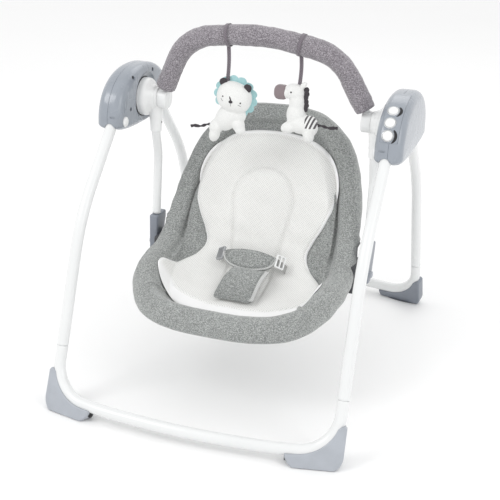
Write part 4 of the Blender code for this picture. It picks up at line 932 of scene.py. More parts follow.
def swing_side(side, hand):
    """Housing with its collar, the hanging arm, the bracket, caps and a screw."""
    turned_body = turned(f"{hand}_swing_housing_cover", housing_profile(), PIVOT,
                         (side, 0, 0), 96)
    level = np.array([0.4900, 0.4800, 0.4720, 0.4660, 0.4600, 0.4480, 0.4375, 0.4352, 0.4343, 0.4340])
    r = np.array([0.0150, 0.0138, 0.0131, 0.0126, 0.0122, 0.0116, 0.0112, 0.0112, 0.0109, 0.0102])
    path = np.stack([np.full(10, side * ARM_X), np.interp(level, (0.434, 0.47), (0.0014, 0.0002)),
                     level], -1)
    collar = tube("collar", path, r, (1, 0, 0), 64)
    carved(turned_body, [collar], "UNION")
    step = turned_body.modifiers.new("soft", "BEVEL")
    step.width, step.segments, step.limit_method = 0.0012, 3, "ANGLE"
    step.angle_limit = math.radians(50)
    crease(applied(turned_body), 40)
    finish(turned_body, "swing", "white_plastic", WHITE_PLASTIC, f"{hand}_swing_housing")
    arm = arm_path() * (side, 1, 1)
    finish(tube(f"{hand}_arm_rod", arm, ARM_R, (1, 0, 0), 48), "swing", "white_paint",
           WHITE_PAINT, f"{hand}_arm_tube")
    stud(f"{hand}_collar_screw", [(DOT, 0.0008), (0.0019, 0.0008), (0.0021, 0.0002),
                                  (0.0021, -0.0020), (DOT, -0.0020)],
         (side * (ARM_X - 0.0112), 0.0014, 0.452), (-side, 0, 0), "swing", "dark_plastic",
         DARK_PLASTIC)
    line = filleted([(-0.013, 0.2617), (-0.013, 0.186), (0.011, 0.186), (0.033, 0.248),
                     (0.033, 0.2617)], [0.004, 0.009, 0.010, 0.008, 0.004], 9)
    frame4 = frame_of((0, 1, 0), (0, 0, 1), (1, 0, 0), (0, 0, 0))
    low, high = sorted((side * 0.2095, side * 0.2265))
    bracket = plate(f"{hand}_arm_bracket_cover", line, low, high, 0.0030, frame4, 6)
    carved(bracket, [round_cutter("button_hole", side, *RECLINE_AXIS[1:], 0.0069, 0.2178, 0.24),
                     round_cutter("pivot_hole", side, *RECLINE_AXIS[1:], 0.0045, 0.20, 0.23)])
    finish(bracket, "swing", "grey_plastic", FOOT_GREY_SHADED, f"{hand}_arm_bracket")
    stud(f"{hand}_recline_button_cap", [
        (DOT, 0.2207), (0.0064, 0.2207), (0.0064, 0.2296), (0.0058, 0.2306), (0.0046, 0.2310),
        (0.0034, 0.2304), (DOT, 0.2302)], RECLINE_AXIS, (side, 0, 0),
        f"{hand}_recline_button_key", "grey_plastic", FOOT_GREY_LIT, 48,
        f"{hand}_recline_button")
    cap = np.concatenate([
        [(DOT, 0.1905)], arc(0.0022, -90, 0, 6, 0.0172, 0.1927), [(0.0194, 0.2010)],
        [(0.0194, 0.2070), (0.0190, 0.2083), (DOT, 0.2083)]])
    stem_up = np.array((0, -math.sin(TOY_LEAN), math.cos(TOY_LEAN)))
    stem_base = np.array((side * 0.1995, 0, PIVOT[2]))
    piece = turned(f"{hand}_toy_bar_cap", cap, PIVOT, (side, 0, 0), 72)
    stem = turned("stem", [(DOT, 0.006), (0.0085, 0.006), (0.0085, 0.0188), (0.0080, 0.0194),
                           (DOT, 0.0195)], stem_base, stem_up, 40)
    carved(piece, [stem], "UNION")
    finish(piece, "toy_bar", "white_plastic", WHITE_PLASTIC, f"{hand}_toy_bar_socket")


for side, hand in HANDS:
    swing_side(side, hand)


def snap_buttons():
    """Sprung buttons in the back legs, over the joint with the floor bar."""
    z = 0.131
    y = BEND_Y + (LEG_BEND_Z - z) * math.tan(LOWER_LEAN) - TUBE_R
    for side, hand in HANDS:
        stud(f"rear_{hand}_snap_button_cap", [
            (DOT, -0.006), (0.0031, -0.006), (0.0031, 0.0006), (0.0025, 0.0015), (0.0012, 0.0019),
            (DOT, 0.0020)], (side * leg_x(z), y, z), (0, -1, 0), f"rear_{hand}_snap_button_key",
            "white_plastic", WHITE_PLASTIC, 32, f"rear_{hand}_snap_button")


# ---------------------------------------------------------------- toy bar
def leaned(x, rise):
    return np.array((x, -rise * math.sin(TOY_LEAN), PIVOT[2] + rise * math.cos(TOY_LEAN)))


BAR_UP = np.array((0, math.cos(TOY_LEAN), math.sin(TOY_LEAN)))
BAR_CORNERS = ((0.2, 0.0), (0.2, 0.014), (0.143, 0.118), (0.0, 0.1445), (-0.150, 0.126),
               (-0.2, 0.014), (-0.2, 0.0))
BAR_PATH = rounded([leaned(x, r) for x, r in BAR_CORNERS], [0.03, 0.09, 0.40, 0.09, 0.03], 0.0022)
SLEEVE_R, ROD_R = 0.0190, 0.0060
BAR_RISE = (BAR_PATH - PIVOT) @ np.array((0, -math.sin(TOY_LEAN), math.cos(TOY_LEAN)))


def groove(distance, deep, wide):
    """A soft valley: minus its depth where the distance is nought, fading out over its width."""
    return -deep * np.exp(-(distance / wide) ** 2)


def flat_waves(x, q, pitch, seed):
    """The same kind of field over flat cloth."""
    return waves(np.stack([x, q, 0 * x], -1), pitch, seed)


def waves(points, pitch, seed, count=12):
    """A smooth random field: a sum of sines in seeded directions at about one pitch."""
    rng = np.random.default_rng(seed)
    out = np.zeros(points.shape[:-1])
    for _ in range(count):
        way = unit(rng.normal(size=3)) * 2 * math.pi / pitch * rng.uniform(0.6, 1.5)
        out += np.sin(points @ way + rng.uniform(0, 2 * math.pi))
    return out / math.sqrt(count)


def toy_bar():
    """The tube inside, and a soft knitted sleeve: rings round the bar that swell, wrinkle
    along the inner side of its bends, roll in at both hems and carry a sewn ridge behind."""
    core = BAR_PATH[BAR_RISE > 0.0095]
    finish(tube("toy_bar_rod", core, ROD_R, BAR_UP, 32), "toy_bar", "white_paint", WHITE_PAINT,
           "toy_bar_tube")
    path = BAR_PATH[BAR_RISE > 0.0229]
    far = run_of(path)
    left = np.minimum(far, far[-1] - far)
    count = 112
    t = np.linspace(0, 2 * math.pi, count, endpoint=False)
    rings = swept(path, circle(count, SLEEVE_R), BAR_UP)
    crumple = waves(rings, 0.022, 11) * 0.00035 + waves(rings, 0.009, 12) * 0.00012
    hem = groove(left - 0.011, 0.0006, 0.0012) + groove(left, 0.0009, 0.0022)
    swell = 0.0004 * np.sin(far * 52)
    ridge = -groove(t - math.pi, 0.0007, 0.05) + groove(t - math.pi * 1.04, 0.0009, 0.025)
    grow = crumple + hem[:, None] + swell[:, None] + ridge[None]
    rings = path[:, None] + (rings - path[:, None]) * (1 + grow / SLEEVE_R)[..., None]
    inside = []
    for end, step in ((0, 1), (-1, -1)):
        for share, deep in ((0.90, 0.0), (0.80, 0.0012), (0.72, 0.0040), (0.40, 0.0046)):
            at = path[end] + unit(path[end + step] - path[end]) * deep
            inside.append(at + (rings[end] - path[end]) * share)
    full = np.concatenate([np.stack(inside[:4])[::-1], rings, np.stack(inside[4:])])
    sleeve = skin("toy_bar_sleeve", full)
    finish(sleeve, "toy_bar", "knit", SLEEVE_KNIT, "toy_bar_cover")


snap_buttons()
toy_bar()


# ---------------------------------------------------------------- seat
SEAT_RUNS = ((0.151, 24), (0.140, 54), (0.245, -4.4))
SEAT_START, SEAT_HEADING = (-0.2450, 0.1540), math.radians(-11.0)
SEAT_LONG, SEAT_HALF_W, SEAT_TAPER, SEAT_POWER = 0.536, 0.1755, 0.11, 3.1
SEAT_WALL, RIM_R, RIM_SINK, FLOOR_RISE = 0.018, 0.0250, 0.004, 0.030
LINE_Q = np.linspace(0, SEAT_LONG, 1073)
BEND = np.interp(LINE_Q, (0, 0.1509, 0.1511, 0.2909, 0.2911, SEAT_LONG),
                 [math.radians(turn) / run for run, turn in SEAT_RUNS for _ in (0, 1)])
LINE_HEADING = SEAT_HEADING + np.concatenate(([0], np.cumsum((BEND[1:] + BEND[:-1]) / 2
                                                             * np.diff(LINE_Q))))
MID_HEADING = (LINE_HEADING[1:] + LINE_HEADING[:-1]) / 2
LINE_Y = SEAT_START[0] + np.concatenate(([0], np.cumsum(np.cos(MID_HEADING) * np.diff(LINE_Q))))
LINE_Z = SEAT_START[1] + np.concatenate(([0], np.cumsum(np.sin(MID_HEADING) * np.diff(LINE_Q))))


def seat_place(x, q, h):
    """Points x across and q along the seat's centre line, h above its surface."""
    q = np.asarray(q, float)
    over = q - np.clip(q, 0, SEAT_LONG)
    heading = np.interp(q, LINE_Q, LINE_HEADING)
    y = np.interp(q, LINE_Q, LINE_Y) + over * np.cos(heading)
    z = np.interp(q, LINE_Q, LINE_Z) + over * np.sin(heading)
    x, y, z, h, heading = np.broadcast_arrays(x, y, z, h, heading)
    return np.stack([x, y - h * np.sin(heading), z + h * np.cos(heading)], -1)


def rim_height(q):
    """The rim's height: low at both ends with one swell beside the hips."""
    return -0.016 + 0.063 * np.exp(-((q - 0.129) / 0.149) ** 2)


def floor_height(x):
    return FLOOR_RISE * np.minimum(1.0, np.abs(x) / SEAT_HALF_W) ** 3


def outline_at(t, grow=1.0):
    """The seat's outline laid flat: a super-ellipse, narrower towards the head."""
    c, s = np.cos(t), np.sin(t)
    q = SEAT_LONG / 2 * (1 + grow * np.sign(s) * np.abs(s) ** (2 / SEAT_POWER))
    x = grow * SEAT_HALF_W * np.sign(c) * np.abs(c) ** (2 / SEAT_POWER)
    return x * (1 - SEAT_TAPER * (2 * q / SEAT_LONG - 1)), q


def roll_at(t, angle):
    """A ring of the padded rim; the angle runs from inside, over the top, to outside."""
    x, q = outline_at(t)
    xa, qa = outline_at(t - 0.02)
    xb, qb = outline_at(t + 0.02)
    along = unit(np.stack([xb - xa, qb - qa], -1))
    out = -RIM_R * math.cos(angle)
    up = RIM_R * math.sin(angle) - RIM_SINK
    return seat_place(x + along[:, 1] * out, q - along[:, 0] * out, rim_height(q) + up)


def spline(controls, steps):
    """Rows of points through control rows: a Catmull-Rom curve in every column."""
    c = np.concatenate([2 * controls[:1] - controls[1:2], controls,
                        2 * controls[-1:] - controls[-2:-1]])
    u = np.linspace(0, 1, steps, endpoint=False)[:, None, None]
    rows = []
    for a, b, d, e in zip(c, c[1:], c[2:], c[3:]):
        rows.append(0.5 * (2 * b + (d - a) * u + (2 * a - 5 * b + 4 * d - e) * u ** 2
                           + (3 * b - a - 3 * d + e) * u ** 3))
    return np.concatenate(rows + [controls[-1:]])


def grid_normals(points):
    """Unit normals of a grid whose columns close, from differences along both ways."""
    down = np.gradient(points, axis=0)
    wide = np.concatenate([points[:, -1:], points, points[:, :1]], 1)
    across = (wide[:, 2:] - wide[:, :-2]) / 2
    return unit(np.cross(across, down))


def seat_cover():
    """The padded bowl: rings over its floor, up and round the rim roll, and back beneath,
    with sewn grooves across the rim and along the side wings, soft swells and wrinkles."""
    count = 400
    t = np.linspace(0, 2 * math.pi, count, endpoint=False)

    def floor_ring(share, lift):
        x, q = outline_at(t, share)
        return seat_place(x, q, floor_height(x) + lift)
    shares, angles, under = (0.02, 0.17, 0.34, 0.50, 0.66, 0.80), (25, 65, 105, 145, 190, 235), \
        (0.84, 0.60, 0.30, 0.02)
    controls = np.stack([floor_ring(s, 0.0) for s in shares]
                        + [roll_at(t, math.radians(a)) for a in angles]
                        + [floor_ring(s, -SEAT_WALL) for s in under])
    steps = 9
    rings = spline(controls, steps)
    row = np.arange(len(rings))[:, None] / steps
    out = grid_normals(rings)
    middle = rings[len(shares) * steps // 2].mean(0)
    if ((rings[7 * steps] - middle) * out[7 * steps]).sum() < 0:
        out = -out
    x, q = outline_at(t)
    on_rim = np.clip((row - 4.9) / 0.5, 0, 1) * np.clip((11.2 - row) / 0.8, 0, 1)
    y = rings[7 * steps][:, 1]
    push = waves(rings, 0.075, 21) * 0.0009 * on_rim
    push = push + waves(rings, 0.028, 22) * 0.00035 * on_rim
    lean = row - 7.0
    hip = y[None] + 0.017 - 0.005 * lean
    push = push + (groove(hip, 0.0036, 0.0022) - groove(np.abs(hip) - 0.010, 0.0016, 0.008)) * on_rim
    corner = (y[None] + 0.186 + 0.006 * lean) * np.where(np.abs(x) > 0.06, 1, 9)[None]
    push = push + groove(corner, 0.0038, 0.0024) * on_rim * np.clip((9.2 - row) / 0.6, 0, 1)
    pinch = np.hypot((x[None] - 0.118) * 1.0, (row - 5.9) * 0.02) * np.where(q[None] < 0.1, 1, 9)
    push = push + groove(pinch, 0.0060, 0.0040)
    wing = np.clip((q - 0.18) / 0.03, 0, 1) * np.clip((0.47 - q) / 0.05, 0, 1) * (np.abs(x) > 0.06)
    push = push + groove(row - 5.55, 0.0055, 0.16) * wing[None]
    push = push - groove(row - 5.95, 0.0035, 0.28) * wing[None]
    crease_left = (np.hypot((q[None] - 0.405) * 0.35, (row - 6.3) * 0.02)
                   + np.where(x[None] < 0, 0, 9))
    push = push + groove(crease_left, 0.0028, 0.0030) * 0.8
    push = push + groove(row - 8.7, 0.0018, 0.09)
    rings = rings + out * push[..., None]
    made = skin("seat_padded_cover", rings)
    finish(made, "seat", "grey_fabric", GREY_CLOTH, "seat_cover")


def bowl_height(x, q):
    """The cover's height under a flat point: its floor, then the climb on to the rim roll."""
    qn = q / (SEAT_LONG / 2) - 1
    wide = SEAT_HALF_W * (1 - SEAT_TAPER * qn)
    g = (np.abs(x / wide) ** SEAT_POWER + np.abs(qn) ** SEAT_POWER) ** (1 / SEAT_POWER)
    g = np.maximum(g, 1e-3)
    slope = np.hypot(np.abs(x / wide) ** (SEAT_POWER - 1) / wide,
                     np.abs(qn) ** (SEAT_POWER - 1) / (SEAT_LONG / 2)) * g ** (1 - SEAT_POWER)
    away = (1 - g) / np.maximum(slope, 1e-3)
    start = 0.20 / np.maximum(slope, 1e-3)
    low = floor_height(x)
    inner = RIM_R * math.cos(math.radians(25))
    top = rim_height(q) - RIM_SINK
    lip = top + RIM_R * math.sin(math.radians(25))
    share = np.clip((start - away) / np.maximum(start - inner, 1e-3), 0, 1)
    climb = low + (lip - low) * share ** 1.25
    roll = top + np.sqrt(np.maximum(RIM_R ** 2 - away ** 2, 0))
    return np.where(away < inner, roll, climb)


def laid(name, outline, centre, height, thick, rows):
    """A sewn pad on the seat: rings from its middle out to its outline over a base height,
    a rounded sewn edge, and back beneath; thick gives its loft at (x, q, share)."""
    outline = np.asarray(outline, float)
    share = np.sin(np.linspace(0.02, 1, rows) * math.pi / 2)
    flat = np.asarray(centre) + share[:, None, None] * (outline - centre)
    x, q = flat[..., 0], flat[..., 1]
    base = height(x, q)
    loft = thick(x, q, share[:, None]) * np.maximum(1 - share[:, None] ** 9, 0.0) ** 0.5
    loft = np.maximum(loft, 0.0004)
    top = seat_place(x, q, base + loft)
    under = seat_place(x, q, base + 0.00015)[::-1]
    made = skin(name, np.concatenate([top, under]))
    flat_all = np.concatenate([flat, flat[::-1]]).reshape(-1, 2)
    mesh = made.data
    index = np.empty(len(mesh.loops), np.int32)
    mesh.loops.foreach_get("vertex_index", index)
    uv = mesh.uv_layers.new(name="cloth")
    uv.data.foreach_set("uv", flat_all[index].ravel())
    return made, flat_all, np.concatenate([share, share[::-1]])


def insert_outline(count=360):
    """The newborn insert laid flat: a round head end, a waist and a wide rounded seat end."""
    q = (0.0655, 0.0685, 0.078, 0.098, 0.125, 0.150, 0.176, 0.203, 0.232, 0.262, 0.292, 0.325,
         0.365, 0.405, 0.440, 0.468, 0.488, 0.4985, 0.502)
    w = (0.0, 0.050, 0.097, 0.138, 0.157, 0.1605, 0.156, 0.141, 0.117, 0.1035, 0.111, 0.127,
         0.140, 0.1425, 0.133, 0.113, 0.083, 0.046, 0.0)
    knots = np.stack([w, q], -1)
    loop = np.concatenate([knots, (knots * (-1, 1))[-2:0:-1]])
    closed = np.concatenate([loop[-2:], loop, loop[:3]])
    smooth = spline(closed[:, None], 24)[:, 0][2 * 24:-2 * 24 - 1]
    far = run_of(smooth)
    at = np.linspace(0, far[-1], count, endpoint=False)
    return np.stack([np.interp(at, far, smooth[:, k]) for k in (0, 1)], -1)


def pillow_edge(x, q):
    """How far a flat point lies outside the raised middle pillow, in metres."""
    straight = np.abs(x) - np.interp(q, (0.0, 0.235, 0.36), (0.038, 0.043, 0.060))
    domed = (np.hypot(x / 0.060, (q - 0.36) / 0.065) - 1) * 0.060
    return np.where(q > 0.36, domed, straight)


def insert():
    """White mesh pad with a raised middle pillow, a seam round it and a plain front band."""
    outline = insert_outline()

    def thick(x, q, share):
        edge = pillow_edge(x, q)
        fade = np.clip((q - 0.10) / 0.05, 0, 1)
        loft = 0.0125 + 0.0016 * np.sin(np.clip((share - 0.3) / 0.7, 0, 1) * math.pi)
        step = 0.0065 * (1 - np.exp(-np.maximum(-edge, 0) / 0.010))
        loft = loft + fade * (step + groove(edge - 0.001, 0.0030, 0.0026))
        front = np.clip((0.150 - q) / 0.03, 0, 1)
        loft = loft + groove(share - 0.875, 0.0046, 0.010) * front
        loft = loft + groove(share - 0.955, 0.0020, 0.010) * (1 - front)
        hip = np.abs(q - 0.205 - 0.25 * np.abs(x)) + np.where(np.abs(x) > 0.05, 0, 1)
        loft = loft + groove(hip, 0.0018, 0.010)
        return loft + flat_waves(x, q, 0.05, 31) * 0.0009 + flat_waves(x, q, 0.018, 32) * 0.00025

    made, flat, share = laid("newborn_insert", outline, (0.0, 0.275),
                             lambda x, q: bowl_height(x, q) + 0.0012, thick, 90)
    rows = np.repeat(share, len(outline))
    border = np.clip((rows - 0.865) / 0.02, 0, 1) * np.clip((0.150 - flat[:, 1]) / 0.02, 0, 1)
    border = np.maximum(border, np.clip((rows - 0.965) / 0.01, 0, 1))
    mask = made.data.attributes.new("border", "FLOAT", "POINT")
    mask.data.foreach_set("value", border.astype(np.float32))
    finish(made, "seat", "white_fabric", MESH_CLOTH, "infant_insert")


def edge_line(points, r, name, mat, slot, body="seat", sides=10):
    """A thin round cord of piping or thread along points."""
    points = np.asarray(points, float)
    ref = np.array((0.1, 0.2, 1.0))
    made = skin(name, swept(points, circle(sides, r), ref))
    return finish(made, body, slot, mat)


def harness():
    """Crotch strap with a webbing edge, half-moon waist pad with piping, slides and webbing."""
    def lift(_, q):
        s = np.clip((q - 0.105) / 0.081, 0, 1)
        return 0.0205 + 0.021 * s + 0.010 * np.sin(math.pi * s)
    strap = filleted([(-0.040, 0.103), (0.036, 0.103), (0.0455, 0.190), (-0.0225, 0.190)],
                     [0.006, 0.006, 0.004, 0.004], 8)
    steps = []
    for a, b in zip(strap, np.roll(strap, -1, 0)):
        n = max(1, int(np.linalg.norm(b - a) / 0.003))
        steps.append(a + (b - a) * np.linspace(0, 1, n, endpoint=False)[:, None])
    strap = np.concatenate(steps)

    def strap_loft(x, q, share):
        return (0.0082 + groove(share - 0.90, 0.0022, 0.018)
                + flat_waves(x, q, 0.02, 41) * 0.00035)
    made, _, _ = laid("crotch_pad", strap, (0.0045, 0.1465), lift, strap_loft, 40)
    finish(made, "seat", "grey_fabric", GREY_CLOTH, "crotch_strap")
    s = np.linspace(0, 1, 30)
    edge_q = 0.104 + 0.084 * s
    edge_x = 0.0365 + 0.0095 * s
    wide = np.linspace(-1, 1, 7)[:, None]
    flat_x = edge_x[:, None] + 0.0042 * wide[None, :, 0]
    tape_top = seat_place(flat_x, np.broadcast_to(edge_q[:, None], flat_x.shape),
                          lift(0, edge_q)[:, None] + 0.0058 - 0.0018 * wide[None, :, 0] ** 2 * 0.5)
    tape_low = seat_place(flat_x, np.broadcast_to(edge_q[:, None], flat_x.shape),
                          lift(0, edge_q)[:, None] + 0.0030)
    tape = skin("crotch_pad_binding", np.concatenate([tape_top, tape_low[:, ::-1]], 1))
    finish(tape, "seat", "grey_fabric", PALE_PIPING)

    a = np.radians(np.linspace(0, 180, 60))
    arc_line = np.stack([0.053 * np.cos(a), 0.232 - 0.045 * np.sin(a) ** 0.85], -1)
    top_line = np.stack([np.linspace(-0.053, 0.053, 40)[1:-1],
                         0.2325 + 0.014 * np.cos(np.linspace(-1.5, 1.5, 38)) ** 0.6], -1)
    half_moon = np.concatenate([arc_line, top_line])
    shift = np.array((0.004, 0.0))

    def pad_lift(x, q):
        return 0.0400 + 0.009 * np.clip((q - 0.188) / 0.045, 0, 1) - 1.2 * (x - 0.004) ** 2

    def pad_loft(x, q, share):
        return (0.0098 + groove(share - 0.86, 0.0026, 0.025)
                + flat_waves(x, q, 0.025, 43) * 0.0004)
    made, _, _ = laid("waist_half_moon", half_moon + shift, (0.004, 0.215), pad_lift, pad_loft, 40)
    finish(made, "seat", "grey_fabric", GREY_CLOTH, "waist_pad")
    rim = arc_line[1:-1] * (0.985, 1) + (0.004, 0.0012)
    line = seat_place(rim[:, 0], rim[:, 1], pad_lift(rim[:, 0], rim[:, 1]) + 0.0050)
    edge_line(line, 0.0019, "waist_pad_piping", PALE_PIPING, "grey_fabric")

    for side, hand in HANDS:
        s = np.linspace(0, 1, 26)
        x = 0.004 + side * (0.047 + 0.021 * s)
        q = 0.228 + (0.002 if side < 0 else -0.004) * s
        base = bowl_height(x, q) + 0.0155
        h = np.maximum(base, (pad_lift(0.05, 0.22) + 0.004) * (1 - s) ** 0.7 + base * s - 0.004 * s)
        along = np.linspace(-1, 1, 7)[:, None]
        grid_q = q[:, None] + 0.0095 * along[None, :, 0]
        grid_x = np.broadcast_to(x[:, None], grid_q.shape)
        up = seat_place(grid_x, grid_q, h[:, None] + 0.0012 + 0 * grid_q)
        low = seat_place(grid_x, grid_q, h[:, None] - 0.0003 + 0 * grid_q)
        web = skin(f"{hand}_waist_webbing", np.concatenate([up, low[:, ::-1]], 1))
        finish(web, "seat", "grey_fabric", GREY_WEB)
        at = 0.004 + side * 0.059
        place_h = float(np.interp(0.35, s, h)) + 0.0018
        here = seat_place(at, 0.2275, place_h)
        ahead = unit(seat_place(at + side * 0.01, 0.2275,
                                float(np.interp(0.62, s, h)) + 0.0018) - here)
        up_q = unit(seat_place(at, 0.2335, place_h) - here)
        normal = unit(np.cross(ahead, up_q))
        frame4 = frame_of(ahead, up_q, normal * (1 if normal[2] > 0 else -1), here)
        outline = filleted([(-0.0098, -0.0135), (0.0098, -0.0135), (0.0098, 0.0135),
                            (-0.0098, 0.0135)], [0.0026] * 4, 7)
        slide = plate(f"{hand}_waist_slide", outline, -0.0014, 0.0036, 0.0013, frame4, 5)
        cuts = []
        spans = ((-0.0068, -0.0012), (0.0014, 0.0068)) if side > 0 else \
            ((-0.0072, -0.0046), (-0.0030, -0.0004), (0.0012, 0.0038), (0.0054, 0.0076))
        for low_x, high_x in spans:
            hole = filleted([(low_x, -0.0108), (high_x, -0.0108), (high_x, 0.0108),
                             (low_x, 0.0108)], [0.0007] * 4, 4)
            cuts.append(plate("slot", hole, -0.01, 0.01, 0.0, frame4, 2))
        carved(slide, cuts)
        finish(slide, "seat", "white_plastic", WHITE_PLASTIC if side > 0 else SLIDER_GREY)


SLIDER_GREY = moulded("grey_slider", (0.38, 0.39, 0.40), 0.45, 0.2)
seat_cover()
insert()
harness()


# ---------------------------------------------------------------- hanging toys
def bar_at(x):
    """The toy bar's centre and direction where it passes a given X."""
    k = int(np.argmin(np.abs(BAR_PATH[:, 0] - x)))
    return BAR_PATH[k], unit(BAR_PATH[k - 1] - BAR_PATH[k + 1])


def lump(at, size, lean=0.0, yaw=0.0, power=2.0, rows=20, cols=28):
    """Rings of a soft oval: half axes along x, y and z, squared off by a power, then leant."""
    v = np.linspace(-math.pi / 2, math.pi / 2, rows + 2)[1:-1, None]
    u = np.linspace(0, 2 * math.pi, cols, endpoint=False)[None]

    def soft(a, p):
        return np.sign(a) * np.abs(a) ** (2 / p)
    x = size[0] * soft(np.cos(v), power) * soft(np.cos(u), power)
    y = size[1] * soft(np.cos(v), power) * soft(np.sin(u), power)
    z = size[2] * soft(np.sin(v), power) + 0 * u
    points = np.stack([x, y, z], -1)
    turn = np.array(Matrix.Rotation(yaw, 3, "Z") @ Matrix.Rotation(lean, 3, "Y"))
    return points @ turn.T + np.asarray(at, float)


def stuffed(name, lumps, body, mat, slot="plush", voxel=0.0012, smooth=10, stands_for=()):
    """Several soft ovals grown into one sewn skin: remeshed together and relaxed."""
    parts = [skin("lump", rings) for rings in lumps]
    bm = bmesh.new()
    for part in parts:
        bm.from_mesh(part.data)
        bpy.data.objects.remove(part)
    made = from_bmesh(name, bm)
    grown = made.modifiers.new("grown", "REMESH")
    grown.mode, grown.voxel_size = "VOXEL", voxel
    soft = made.modifiers.new("soft", "SMOOTH")
    soft.factor, soft.iterations = 0.5, smooth
    applied(made)
    made.data.shade_smooth()
    finish(made, body, slot, mat, *stands_for)
    return made


def ribbon(name, x, low_z, body, node_name):
    """A soft loop round the padded bar with its tail hanging down to the toy."""
    centre, tangent = bar_at(x)
    across = unit(np.cross(tangent, (0, 1, 0)))
    across = across if across[2] > 0 else -across
    depth = unit(np.cross(tangent, across))
    a = np.radians(np.linspace(-90, 270, 64))
    r = SLEEVE_R + 0.0015
    loop = centre + r * (np.cos(a)[:, None] * depth + np.sin(a)[:, None] * across)
    half, thin = 0.0034, 0.0005
    section = np.array([(-half, -thin), (half, -thin), (half, thin), (-half, thin)])
    radial = unit(loop - centre)
    rings = loop[:, None] + section[:, :1] * tangent + section[:, 1:] * radial[:, None]
    made = skin(name + "_loop", rings[:-1], closed=True)
    finish(made, body, "knit", RIBBON_MAUVE, node_name)
    z = np.linspace(centre[2] - r + 0.0006, low_z, 24)
    s = np.linspace(0, 1, 24)
    mid = np.stack([centre[0] + 0.0010 * np.sin(s * 4.0), centre[1] - 0.0006 + 0.0012 * np.sin(s * 3),
                    z], -1)
    tail = []
    for side, turn in ((-1, 0.35), (1, -0.25)):
        wide = 0.0019
        twist = turn * np.sin(s * math.pi)
        way = np.stack([np.cos(twist), np.sin(twist), 0 * s], -1)
        off = mid + side * way * 0.0017
        face = np.cross(way, (0, 0, 1.0))
        tail.append(off[:, None] + np.array((-wide, wide, wide, -wide))[None, :, None] * way[:, None]
                    + np.array((-thin, -thin, thin, thin))[None, :, None] * face[:, None])
    for k, rings in enumerate(tail):
        finish(skin(f"{name}_tail_{k + 1}", rings), body, "knit", RIBBON_MAUVE)


def felt_strip(name, centre, radii, start, stop, lobes, wide, deep, body, mat, tilt):
    """A scalloped collar: an arc of felt whose outer edge swells into round lobes."""
    n = 150
    a = np.radians(np.linspace(start, stop, n))
    scallop = np.abs(np.sin(np.linspace(0, lobes * math.pi, n))) ** 0.6
    lift = np.array((0, -1.0, 0))
    rows = []
    for share in np.linspace(0, 1, 9):
        reach = share * (wide * (0.62 + 0.38 * scallop))
        x = (radii[0] + reach) * np.cos(a)
        z = (radii[1] + reach) * np.sin(a)
        wave = deep * np.sin(np.linspace(0, lobes * 2 * math.pi, n)) * share
        rows.append(np.stack([x, 0.003 + wave, z], -1))
    top = np.stack(rows)
    low = top + (0, 0.0016, 0)
    ring = np.concatenate([top, low[::-1]]).transpose(1, 0, 2)
    turn = np.array(Matrix.Rotation(tilt, 3, "Y"))
    return finish(skin(name, ring @ turn.T + np.asarray(centre)), body, "plush", mat)


HEAD_LEAN = 0.28


